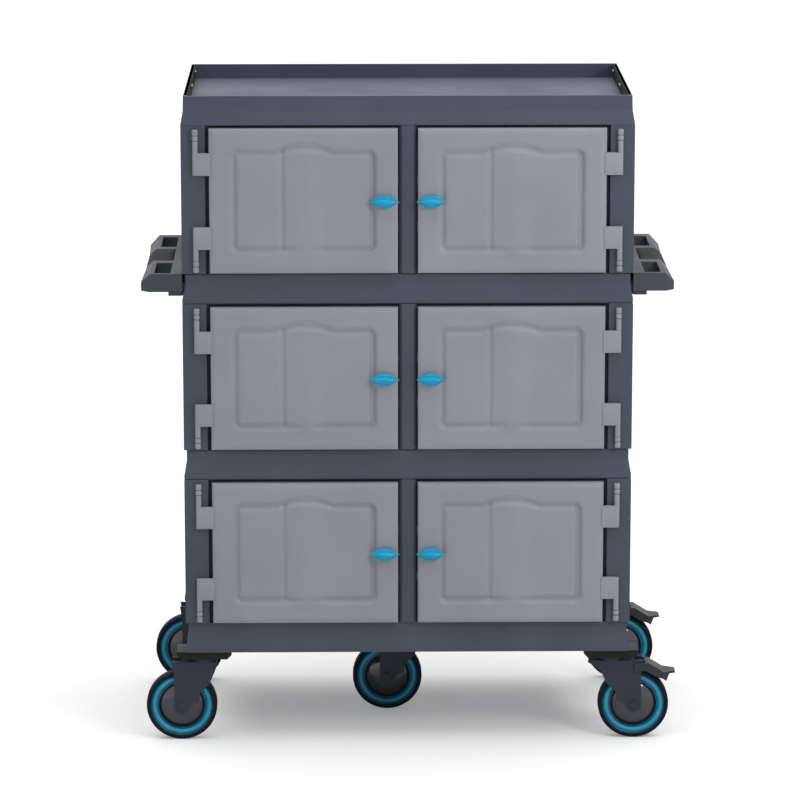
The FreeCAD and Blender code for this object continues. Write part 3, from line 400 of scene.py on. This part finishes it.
def studio_floor():
    """White vinyl: a diffuse floor that camera rays see a little brighter in the shadows."""
    material, tree, shader = start_material("white vinyl", Roughness=0.9)
    shader.inputs["Base Color"].default_value = linear("#dcdcdc")
    shader.inputs["Specular IOR Level"].default_value = 0.0
    ray = put(tree, "ShaderNodeLightPath").outputs
    lift = put(tree, "ShaderNodeEmission", {"Color": WHITE, "Strength": SHADOW_LIFT})
    matte = put(tree, "ShaderNodeBsdfDiffuse", {"Color": linear("#f6f6f6")})
    shown = put(tree, "ShaderNodeAddShader", {0: lift.outputs[0], 1: matte.outputs[0]})
    mixed = put(tree, "ShaderNodeMixShader", {
        0: ray["Is Camera Ray"], 1: shader.outputs["BSDF"], 2: shown.outputs[0]})
    exit_node = next(n for n in tree.nodes if n.type == "OUTPUT_MATERIAL")
    tree.links.new(mixed.outputs[0], exit_node.inputs["Surface"])
    return material


corners = [(x * FLOOR_HALF, y * FLOOR_HALF, 0.0) for x, y in ((-1, -1), (1, -1), (1, 1), (-1, 1))]
floor_mesh = bpy.data.meshes.new("floor")
floor_mesh.from_pydata(corners, [], [(0, 1, 2, 3)])
floor_mesh.materials.append(studio_floor())
floor = bpy.data.objects.new("floor", floor_mesh)
bpy.context.scene.collection.objects.link(floor)

# %% [markdown]
# ## Moulded tiers, tray and runners
#
# Decks, walls, partitions, back panels and tray are the solids themselves: their shape is
# right, and only their edges are too sharp, because a moulding always comes out of its tool
# with rounded ones.  Modifiers round them without touching the mesh: Weld joins the loose
# triangles, Decimate merges the flat ones, and Bevel rounds every edge over 25 degrees.

# %% Dress the solids
MERGE_DISTANCE, FLAT_ANGLE, SHARP_ANGLE = 1e-6, 1.0, 25.0


def dress(name, material, radius, segments=3):
    """Give a CAD node its finish and, with modifiers alone, edges of this radius."""
    thing = frame["nodes"][name]
    thing.data.materials.clear()
    thing.data.materials.append(material)
    thing.modifiers.new("weld", "WELD").merge_threshold = MERGE_DISTANCE
    flat = thing.modifiers.new("flat", "DECIMATE")
    flat.decimate_type, flat.angle_limit = "DISSOLVE", np.radians(FLAT_ANGLE)
    soft = thing.modifiers.new("soft", "BEVEL")
    soft.width, soft.segments = radius, segments
    soft.limit_method, soft.angle_limit = "ANGLE", np.radians(SHARP_ANGLE)
    soft.harden_normals = True


for deck in ("base_deck", "lower_deck", "upper_deck"):
    dress(deck, deck_grey, 0.004)
dress("top_tray", charcoal, 0.003)
for tier in TIERS:
    dress(f"partition_{tier}", deck_grey, 0.003)
    dress(f"back_panel_{tier}", deck_grey, 0.0015)
    for side in SIDES:
        dress(f"{side}_wall_{tier}", deck_grey, 0.002)
dress("tray_runners", stainless, 0.0004, 2)

# %% Small metal parts
dress("door_seals", seal_rubber, 0.0008, 2)
dress("hinge_pins", zinc, 0.0006, 2)
dress("kingpins", zinc, 0.0008, 2)
dress("plate_bolts", zinc, 0.0006, 2)
# Painted shade: the plates get the near-black paint that stands in for the deck's shadow.
dress("caster_plates", plate_paint_painted_shade, 0.0012)
for caster in CASTERS:
    dress(f"fork_{caster}", caster_paint, 0.0018)
    dress(f"axle_{caster}", caster_paint, 0.0008, 2)
for caster in ("front_right", "rear_right"):
    dress(f"pedal_{caster}", pedal_black, 0.0014)
for side in SIDES:
    dress(f"handle_{side}", slate, 0.003)

# %% [markdown]
# ## Doors
#
# Each door is a double-skinned moulding.  Its face has a shallow channel round a field, a
# soft fold near the middle and a gently bulged band that rises past the channel in an arch.
# A sculpted or displaced plane could show this, but the relief is written as a height over
# the door's face, so that the mesh itself has it and every door gets the same one.

# %% The relief of a door's face
CHANNEL_LEFT, CHANNEL_RIGHT = 0.13, 0.866
CHANNEL_TOP, CHANNEL_BOTTOM = 0.165, 0.835
FOLD_PLACE = 0.385
BAND_LEFT, BAND_RIGHT = 0.385, 0.635
ARCH_LEFT, ARCH_RIGHT = 0.345, 0.645
CHANNEL_DEPTH, CHANNEL_HALF, CHANNEL_CORNER = 0.0056, 0.0068, 0.012
RIGHT_DEPTH, RIGHT_START, RIGHT_STEEP = 0.0088, 0.82, 25.0
FADE_SHARE, FADE_START, FADE_STEEP = 0.85, 0.7, 8.0
FOLD_DEPTH, FOLD_HALF, FIELD_BLEND = 0.0040, 0.0060, 0.010
BAND_RISE, BAND_HEAD, HEAD_STEEP, BAND_FOOT, FOOT_STEEP = 0.0044, 0.06, 9.0, 0.93, 8.0
ARCH_RISE = 0.012
ARC_MIDDLE, ARC_BEND, ARC_REACH, ARC_LINE = 0.505, 0.075, 0.05, 0.11
ARC_DROP, ARC_HEIGHT, ARC_DEPTH, ARC_HALF = 0.006, 0.022, 0.0016, 0.003
EDGE_SLOPE, EDGE_WIDTH = 0.0024, 0.012


def smooth_step(t):
    """0 below 0, 1 above 1, and 3 t^2 - 2 t^3 between."""
    t = np.clip(t, 0.0, 1.0)
    return t * t * (3.0 - 2.0 * t)


def valley(distance, half):
    """A soft groove: exp(-(distance / half)^2)."""
    return np.exp(-(distance / half) ** 2)


def door_relief(across, down, width, height):
    """How far the face stands proud at a share across and down the door, in metres.

    The channel follows a rectangle with rounded corners, by its signed distance; its top rises
    in an arch as (1 - t^2)^0.7, t running from -1 to 1 across it; the band swells as cos^2;
    grooves are exp(-(distance / half)^2) deep.
    """
    from_band = (2.0 * across - BAND_LEFT - BAND_RIGHT) / (BAND_RIGHT - BAND_LEFT)
    band = np.cos(np.pi / 2 * np.clip(from_band, -1, 1)) ** 2
    t = (2.0 * across - ARCH_LEFT - ARCH_RIGHT) / (ARCH_RIGHT - ARCH_LEFT)
    arch = ARCH_RISE * np.maximum(1.0 - t * t, 0.0) ** 0.7
    x, z = across * width, -down * height
    left, right = CHANNEL_LEFT * width, CHANNEL_RIGHT * width
    top, bottom = -CHANNEL_TOP * height + arch, -CHANNEL_BOTTOM * height
    past_x = np.abs(x - (left + right) / 2) - (right - left) / 2 + CHANNEL_CORNER
    past_z = np.abs(z - (top + bottom) / 2) - (top - bottom) / 2 + CHANNEL_CORNER
    outside = np.hypot(np.maximum(past_x, 0), np.maximum(past_z, 0))
    rim = outside + np.minimum(np.maximum(past_x, past_z), 0) - CHANNEL_CORNER
    inside = smooth_step(0.5 - rim / FIELD_BLEND)
    fade = 1.0 - FADE_SHARE * band * smooth_step((down - FADE_START) * FADE_STEEP)
    deeper = (RIGHT_DEPTH - CHANNEL_DEPTH) * smooth_step((across - RIGHT_START) * RIGHT_STEEP)
    channel = -(CHANNEL_DEPTH + deeper) * fade * valley(rim, CHANNEL_HALF)
    fold = -FOLD_DEPTH * inside * valley(x - FOLD_PLACE * width, FOLD_HALF)
    bulge = BAND_RISE * band * smooth_step((BAND_FOOT - down) * FOOT_STEEP)
    bulge = bulge * smooth_step((down - BAND_HEAD) * HEAD_STEEP)
    from_arc = across - ARC_MIDDLE
    arc_z = -CHANNEL_TOP * height + ARC_HEIGHT - ARC_DROP * (from_arc / ARC_BEND) ** 2
    arc = -ARC_DEPTH * smooth_step(2.0 - np.abs(from_arc) / ARC_REACH)
    arc = arc * valley(z - arc_z, ARC_HALF)
    return channel + fold + bulge + arc


# %% [markdown]
# The door is a slab whose front is that height field.  Front and back grids share their
# outline, and both turn over a quarter circle at the edge, so the shell closes at the sides.
# The arms of its two hinges are one profile, a flat strap that runs into a round eye,
# carried up along the hinge line.

# %% Door surfaces
HINGE_REACH, BARREL_RADIUS, STRAP_TUCK = 0.030, 0.006, 0.004
CORNER_ROUND = 0.0032
FINE_STEP, COARSE_STEP, LEAST_STEP, FINE_REACH = 0.0012, 0.0045, 0.0004, 0.014


def spaced(low, high, features):
    """Grid lines from low to high: close together near the features, wide elsewhere."""
    fine = [np.arange(f - FINE_REACH, f + FINE_REACH, FINE_STEP) for f in features]
    rest = np.linspace(low, high, int((high - low) / COARSE_STEP))
    rim = CORNER_ROUND * (1.0 - np.cos(np.linspace(0.0, np.pi / 2, 5)))
    every = np.concatenate([rest, *fine, low + rim, high - rim])
    every = np.sort(every[(every >= low) & (every <= high)])
    return every[np.concatenate([[True], np.diff(every) > LEAST_STEP])]


def slab(low, high, relief):
    """A closed slab whose front (low y) carries the relief and whose rims are rounded."""
    width, height = high[0] - low[0], high[2] - low[2]
    marks_x = [low[0] + s * width for s in (CHANNEL_LEFT, FOLD_PLACE, CHANNEL_RIGHT)]
    marks_z = [high[2] - s * height for s in (CHANNEL_TOP, CHANNEL_BOTTOM, ARC_LINE)]
    x, z = spaced(low[0], high[0], marks_x), spaced(low[2], high[2], marks_z)
    x[-1], z[-1] = high[0], high[2]
    grid_x, grid_z = np.meshgrid(x, z, indexing="ij")
    edge = np.minimum(np.minimum(grid_x - low[0], high[0] - grid_x),
                      np.minimum(grid_z - low[2], high[2] - grid_z))
    turn = CORNER_ROUND - np.sqrt(np.maximum(
        CORNER_ROUND ** 2 - np.maximum(CORNER_ROUND - edge, 0.0) ** 2, 0.0))
    slope = EDGE_SLOPE * smooth_step(1.0 - edge / EDGE_WIDTH)
    proud = relief((grid_x - low[0]) / width, (high[2] - grid_z) / height, width, height)
    front = np.stack([grid_x, low[1] + turn + slope - proud, grid_z], axis=-1)
    back = np.stack([grid_x, high[1] - turn, grid_z], axis=-1)
    rows, columns = grid_x.shape
    count = rows * columns
    face = quads(rows, columns, close_columns=False)
    index = np.arange(count).reshape(rows, columns)
    loop = np.concatenate([index[:-1, 0], index[-1, :-1], index[:0:-1, -1], index[0, :0:-1]])
    ahead = np.roll(loop, -1)
    rims = np.stack([loop, ahead, ahead + count, loop + count], axis=-1)
    return np.concatenate([front.reshape(-1, 3), back.reshape(-1, 3)]), [
        face[:, ::-1], face + count, rims[:, ::-1]]


def carried(profile, heights, insets):
    """A profile (n, 2) in plan carried up; an inset draws each ring in towards its middle."""
    middle = (profile.max(0) + profile.min(0)) / 2
    reach = (profile.max(0) - profile.min(0)) / 2
    shrink = 1.0 - np.asarray(insets)[:, None] / reach[None, :]
    plan = middle + (profile - middle)[None] * shrink[:, None, :]
    up = np.broadcast_to(np.asarray(heights)[:, None, None], (*plan.shape[:2], 1))
    return loft(np.concatenate([plan, up], axis=-1))


def soft_ends(low, high, radius, steps=4):
    """Heights and insets of a bar from low to high whose ends turn over by a quarter circle."""
    turn = np.linspace(0.0, np.pi / 2, steps)
    lift, inset = radius * (1.0 - np.cos(turn)), radius * (1.0 - np.sin(turn))
    return (np.concatenate([low + lift, (high - lift)[::-1]]),
            np.concatenate([inset, inset[::-1]]))


def strap_profile(hinge_x, hinge_y, edge_x):
    """Plan of a hinge arm: a strap from the door's edge, flush with its face, round the eye."""
    sign = np.sign(hinge_x)
    turn = np.linspace(-np.pi / 2, np.pi / 2, 13)
    eye = np.stack([hinge_x + sign * BARREL_RADIUS * np.cos(turn),
                    hinge_y + BARREL_RADIUS * np.sin(turn)], axis=-1)
    root = edge_x - sign * STRAP_TUCK
    front, back = (root, hinge_y - BARREL_RADIUS), (root, hinge_y + BARREL_RADIUS)
    return np.concatenate([[front], eye, [back]])


def circle(x, y, radius, count=28):
    """Plan of a round bar."""
    turn = np.linspace(0.0, 2 * np.pi, count, endpoint=False)
    return np.stack([x + radius * np.cos(turn), y + radius * np.sin(turn)], axis=-1)


# %% Doors in place
ARM_START, ARM_HEIGHT, KNUCKLE_END = 0.054, 0.0495, 0.0275
ARM_SOFT, EYE_SOFT, EYE_OVERLAP = 0.0012, 0.001, 0.004


def make_door(side, tier):
    """One door: the relief slab, two strap arms and the barrels that run up to the knuckles."""
    name = f"door_{side}_{tier}"
    sign = SIDES[side]
    low, high = (np.array(corner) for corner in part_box(name))
    hinge_x, hinge_y, _ = joints[f"{name}_hinge"]["pos_m"]
    edge_x = hinge_x - sign * HINGE_REACH
    inner_x = low[0] if sign > 0 else high[0]
    ends = sorted((inner_x, edge_x))
    face_y = hinge_y - BARREL_RADIUS
    shells = [slab((ends[0], face_y, low[2]), (ends[1], high[1], high[2]), door_relief)]
    strap = strap_profile(hinge_x, hinge_y, edge_x)
    barrel = circle(hinge_x, hinge_y, BARREL_RADIUS)
    for end, way in ((low[2], 1.0), (high[2], -1.0)):
        arm = sorted((end + way * ARM_START, end + way * (ARM_START + ARM_HEIGHT)))
        eye = sorted((end + way * KNUCKLE_END, end + way * (ARM_START + EYE_OVERLAP)))
        shells.append(carried(strap, *soft_ends(*arm, ARM_SOFT)))
        shells.append(carried(barrel, *soft_ends(*eye, EYE_SOFT)))
    return make_piece(f"door_skin_{side}_{tier}", shells, light_grey, name, [name])


for side in SIDES:
    for tier in TIERS:
        make_door(side, tier)

# %% [markdown]
# ## Hinge knuckles
#
# At each end of a door the post carries a fixed knuckle in the doors' grey.  It shows as two
# round beads, one above the other, on a small foot that is fixed to the post.

# %% Knuckles
BEAD_RADIUS, BEAD_SPLIT, BEAD_SOFT = 0.0066, 0.0135, 0.0034
FOOT_HALF, FOOT_SOFT = 0.005, 0.001
KNUCKLE_START, KNUCKLE_HEIGHT = 0.002, 0.025


def make_knuckles():
    """Two beads and a foot at each end of every door."""
    shells = []
    _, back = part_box("hinge_brackets")
    for side in SIDES:
        for tier in TIERS:
            name = f"door_{side}_{tier}"
            low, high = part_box(name)
            x, y, _ = joints[f"{name}_hinge"]["pos_m"]
            left, right = x - FOOT_HALF, x + FOOT_HALF
            foot = np.array([(left, y), (right, y), (right, back.y), (left, back.y)])
            for end, way in ((low.z, 1.0), (high.z, -1.0)):
                start = end + way * KNUCKLE_START
                split, stop = start + way * BEAD_SPLIT, start + way * KNUCKLE_HEIGHT
                for bead in (sorted((start, split)), sorted((split, stop))):
                    rings = soft_ends(*bead, BEAD_SOFT, 5)
                    shells.append(carried(circle(x, y, BEAD_RADIUS), *rings))
                shells.append(carried(foot, *soft_ends(*sorted((start, stop)), FOOT_SOFT)))
    return make_piece("hinge_knuckles", shells, light_grey, "root", ["hinge_brackets"])


make_knuckles()

# %% [markdown]
# ## Turn latches
#
# The latch lever is a glossy eye-shaped grip on a round boss.  It swells from both tips to the
# middle, and its section is an arch with a crease near the top, whose edge catches the light.

# %% Latches
LEVER_HALF, LEVER_RISE, LEVER_RADIUS, LEVER_TIP = 0.0325, 0.0146, 0.0146, 0.0020
CREASE_PLACE, CREASE_HALF, CREASE_SHARE = 0.64, 0.13, 0.4
BOSS_RADIUS, SPINDLE_RADIUS, BACK_DEPTH, LATCH_GAP = 0.0135, 0.008, 0.015, 0.0004
TONGUE_THICK, TONGUE_REACH, TONGUE_HALF, TONGUE_SOFT = 0.006, 0.0285, 0.009, 0.0012


def lever_shell(x, back_y, z):
    """Rings along X, each a pointed arch with a crease near its top.

    The swell is (1 - s^2)^1.2; the half-height follows it and the depth its power 0.7.  The
    arch is (1 - |t|^1.6)^0.8, and the crease takes a share exp(-(distance / half)^2) away.
    """
    s = np.sin(np.linspace(-np.pi / 2, np.pi / 2, 33)) * 0.998
    swell = (1.0 - s * s) ** 1.2
    t = np.linspace(-1.0, 1.0, 41)
    arch = (1.0 - np.abs(t) ** 1.6) ** 0.8
    arch = arch * (1.0 - CREASE_SHARE * valley(t - CREASE_PLACE, CREASE_HALF))
    rise = np.maximum(LEVER_RISE * swell ** 0.7, LEVER_TIP)
    half = np.maximum(LEVER_RADIUS * swell, LEVER_TIP)
    ring_y = back_y - rise[:, None] * arch[None, :]
    ring_z = z + half[:, None] * t[None, :]
    ring_x = np.broadcast_to((x + s * LEVER_HALF)[:, None], ring_y.shape)
    return loft(np.stack([ring_x, ring_y, ring_z], axis=-1))


def turned_y(profile, x, z, count=40):
    """A shell turned about a line along Y through (x, z) from (y, radius) points."""
    turn = np.linspace(0.0, 2 * np.pi, count, endpoint=False)
    y, radius = np.asarray(profile).T
    along = np.broadcast_to(y[:, None], (len(y), count))
    return np.stack([x + radius[:, None] * np.cos(turn), along,
                     z + radius[:, None] * np.sin(turn)], axis=-1)


def make_latch(side, tier):
    """Lever, boss, spindle and the tongue that holds the door behind the partition."""
    name = f"latch_{side}_{tier}"
    low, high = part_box(name)
    x, face_y, z = joints[f"{name}_turn"]["pos_m"]
    back_y, front_y = low.y + BACK_DEPTH, face_y - LATCH_GAP
    boss = turned_y([(back_y - 0.002, 0.010), (back_y + 0.0004, BOSS_RADIUS - 0.0006),
                     (back_y + 0.0012, BOSS_RADIUS), (front_y - 0.0008, BOSS_RADIUS),
                     (front_y, BOSS_RADIUS - 0.0008)], x, z)
    stem = turned_y([(front_y - 0.002, SPINDLE_RADIUS), (high.y - 0.001, SPINDLE_RADIUS),
                     (high.y, SPINDLE_RADIUS - 0.001)], x, z)
    near, far = sorted((x - SIDES[side] * TONGUE_REACH, x))
    inner, outer = high.y - TONGUE_THICK, high.y - LATCH_GAP
    tongue = np.array([(near, inner), (far, inner), (far, outer), (near, outer)])
    shells = [lever_shell(x, back_y, z), loft(boss), loft(stem),
              carried(tongue, *soft_ends(z - TONGUE_HALF, z + TONGUE_HALF, TONGUE_SOFT))]
    return make_piece(f"turn_{name}", shells, latch_blue, name, [name])


for side in SIDES:
    for tier in TIERS:
        make_latch(side, tier)

# %% [markdown]
# ## Grip pads
#
# In the middle of each handle lies a soft rubber pad that wraps over the outer bevel.  It is a
# section across the handle carried along it; the section's crown makes it look stuffed.

# %% Grips
PAD_CROWN, PAD_BEVEL, PAD_INNER, PAD_PROUD, PAD_TRIM = 0.0016, 0.014, 0.5262, 0.0006, 0.0003
END_DRAW, END_START = 0.045, 0.94


def along_y(section, places, draw, sign):
    """A section (n, 2) in X and Z carried along Y; each ring shrinks about its middle."""
    middle = section.mean(0)
    rings = middle + (section - middle)[None] * draw[:, None, None]
    y = np.broadcast_to(places[:, None], rings.shape[:2])
    return loft(np.stack([sign * rings[..., 0], y, rings[..., 1]], axis=-1))


def make_grips():
    """One crowned pad per handle: a section from the pocket's inner edge over the bevel.

    Its last part at both ends draws in as a quarter circle, 1 - sqrt(1 - e^2).
    """
    low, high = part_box("handle_pads")
    outer, top = high.x + PAD_PROUD, high.z
    bend, crown = outer - PAD_BEVEL, top + PAD_CROWN * 0.8
    outline = np.array([
        (PAD_INNER, low.z), (PAD_INNER, top - 0.0022), (PAD_INNER + 0.0022, top),
        (PAD_INNER + 0.010, crown), ((PAD_INNER + bend) / 2, top + PAD_CROWN),
        (bend - 0.008, crown), (bend, top - 0.0002), (bend + 0.006, top - 0.0056),
        (outer - 0.0016, top - PAD_BEVEL + 0.0014), (outer, top - PAD_BEVEL - 0.001),
        (outer, low.z)])
    length = np.sin(np.linspace(-np.pi / 2, np.pi / 2, 25))
    end = np.clip((np.abs(length) - END_START) / (1.0 - END_START), 0, 1)
    draw = 1.0 - END_DRAW * (1.0 - np.sqrt(1.0 - end ** 2))
    y = (low.y + high.y) / 2 + length * ((high.y - low.y) / 2 - PAD_TRIM)
    shells = [along_y(outline, y, draw, sign) for sign in SIDES.values()]
    return make_piece("grip_pads", shells, grip_rubber, "root", ["handle_pads"],
                      crease=50.0)


make_grips()

# %% [markdown]
# ## Handle roots, rim edgings and eyelets
#
# The handle moulding runs down into the flare of the deck, so no daylight shows between them.
# The side rims of the tray wear a black rubber edging over their top and inner face, and each
# slot in them is lined with a pressed steel eyelet that stands a little proud of the edging.
# Their bright zinc is a painted highlight for the light caught at the far end of each slot.

# %% Handle roots, edgings and eyelets
ROOT_INNER, ROOT_OUTER, ROOT_HEIGHT, ROOT_INSET = 0.4932, 0.501, 0.030, 0.012
RIM_INNER, RIM_OUTER, EDGING_DEEP, EDGING_INSET = 0.4857, 0.4931, 0.0300, 0.022
EYELET_PLACES, EYELET_HEIGHT, EYELET_PROUD = (-0.222, 0.018, 0.258), 1.459, 0.004
EYELET_LONG, EYELET_TALL = 0.0095, 0.0046


def make_handle_roots():
    """A bar along the foot of each handle that fills the wedge beside the deck's flare."""
    shells = []
    for side, sign in SIDES.items():
        low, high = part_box(f"handle_{side}")
        front, back = low.y + ROOT_INSET, high.y - ROOT_INSET
        near, far = sign * ROOT_INNER, sign * ROOT_OUTER
        plan = np.array([(near, front), (far, front), (far, back), (near, back)])
        shells.append(carried(plan, *soft_ends(low.z + 0.0006, low.z + ROOT_HEIGHT, 0.0008)))
    return make_piece("handle_roots", shells, slate, "root")


def make_edgings():
    """A strip over the top and the inner face of each side rim, rounded at its ends."""
    low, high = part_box("top_tray")
    top, foot = high.z, high.z - EDGING_DEEP
    section = np.array([
        (RIM_INNER - 0.0012, foot), (RIM_INNER - 0.0012, top - 0.0012), (RIM_INNER, top),
        (RIM_OUTER - 0.0004, top), (RIM_OUTER, top - 0.0005), (RIM_OUTER - 0.0020, top - 0.0030),
        (RIM_INNER + 0.0010, top - 0.0040), (RIM_INNER + 0.0010, foot)])
    front, back = low.y + EDGING_INSET, high.y - EDGING_INSET
    y = np.array([front, front + 0.0004, back - 0.0004, back])
    draw = np.array([0.9, 1.0, 1.0, 0.9])
    shells = [along_y(section, y, draw, sign) for sign in SIDES.values()]
    return make_piece("rim_edgings", shells, grip_rubber, "root")


def make_eyelet_highlights():
    """A rounded lip and a plug for each slot, turned about X and flattened to the slot."""
    turn = np.linspace(0.0, 2.0 * np.pi, 24, endpoint=False)
    profile = np.array([(RIM_OUTER, 0.7), (RIM_INNER, 0.7), (RIM_INNER - 0.0008, 1.0),
                        (RIM_INNER - 0.6 * EYELET_PROUD, 1.0), (RIM_INNER - EYELET_PROUD, 0.7)])
    shells = []
    for sign in SIDES.values():
        for y in EYELET_PLACES:
            x = np.broadcast_to(sign * profile[:, :1], (len(profile), len(turn)))
            ring_y = y + EYELET_LONG * profile[:, 1:] * np.cos(turn)
            ring_z = EYELET_HEIGHT + EYELET_TALL * profile[:, 1:] * np.sin(turn)
            shells.append(loft(np.stack([x, ring_y, ring_z], axis=-1)))
    # Painted highlight: the bright zinc plugs stand in for the light caught at the far end of
    # each slot.
    return make_piece("rim_eyelets", shells, zinc, "root")


make_handle_roots()
make_edgings()
make_eyelet_highlights()

# %% [markdown]
# ## Wheels
#
# A caster wheel is turned: a rubber tread, a blue polyurethane ring in a darker seat on both
# faces, and a glossy hub that is domed from its rim to its boss.  Each is one profile swept
# round the axle.

# %% Wheels
WHEEL_RADIUS, WHEEL_HALF, TREAD_ROUND = 0.080, 0.016, 0.0055
TYRE_BORE, RING_INNER, FIT = 0.0702, 0.0520, 0.0001
RING_RADIUS, RING_SIZE, RING_SUNK = 0.0622, 0.0054, 0.0064
HUB_SWELL, HUB_CENTRE, HUB_FLAT, HUB_BOSS = 0.050, -0.0326, 0.0185, 0.0178
AXLE_RADIUS, TURN_STEPS = 0.0080, 96


def arc_points(y, radius, size, start, stop, steps=7):
    """Points of an arc about (y, radius) from one angle to another, in degrees."""
    turn = np.radians(np.linspace(start, stop, steps))
    return np.stack([y + size * np.cos(turn), radius + size * np.sin(turn)], axis=-1)


def mirrored(profile):
    """A profile from the middle plane outwards, completed on the other side."""
    return np.concatenate([profile, (profile * (-1.0, 1.0))[::-1]])


def make_wheel(caster):
    """Tread, seat of the ring, ring and hub of one wheel."""
    body = f"wheel_{caster}"
    x, y, z = joints[f"wheel_{caster}_spin"]["pos_m"]
    half, bore, rim = WHEEL_HALF, TYRE_BORE - FIT, RING_INNER + FIT
    shoulder = (half - TREAD_ROUND, WHEEL_RADIUS - TREAD_ROUND)
    tread = np.concatenate([
        [(0.0, WHEEL_RADIUS)], arc_points(*shoulder, TREAD_ROUND, 80, 0),
        [(half - 0.0006, TYRE_BORE + 0.0012), (half - 0.002, TYRE_BORE), (0.0, TYRE_BORE)]])
    seat = np.array([
        (0.0, bore), (half - 0.0022, bore), (half - 0.0030, TYRE_BORE - 0.0016),
        (half - 0.0050, 0.0664), (half - 0.0056, 0.0570), (half - 0.0046, RING_INNER + 0.0016),
        (half - 0.0044, rim), (0.0, rim)])
    core = np.concatenate([
        [(0.0, RING_RADIUS + RING_SIZE)],
        arc_points(half - RING_SUNK, RING_RADIUS, RING_SIZE, 85, -85, 13),
        [(0.0, RING_RADIUS - RING_SIZE)]])
    hub = np.concatenate([
        [(0.0, RING_INNER), (0.0090, RING_INNER)],
        arc_points(HUB_CENTRE, HUB_FLAT, HUB_SWELL, 42, 0, 16),
        [(0.0176, 0.0150), (HUB_BOSS, 0.0140), (HUB_BOSS, AXLE_RADIUS), (0.0, AXLE_RADIUS)]])

    def whole(profile):
        """The profile on both faces of the wheel, swept round the axle."""
        return ring_shell(turned_y(mirrored(profile) + (y, 0.0), x, z, TURN_STEPS))

    make_piece(f"tread_{caster}", [whole(tread)], tyre_rubber, body, [f"tyre_{caster}"])
    make_piece(f"ring_seat_{caster}", [whole(seat)], ring_dark, body)
    make_piece(f"blue_ring_{caster}", [whole(core)], ring_blue, body)
    make_piece(f"wheel_hub_{caster}", [whole(hub)], hub_black, body, [f"hub_{caster}"])


for caster in CASTERS:
    make_wheel(caster)
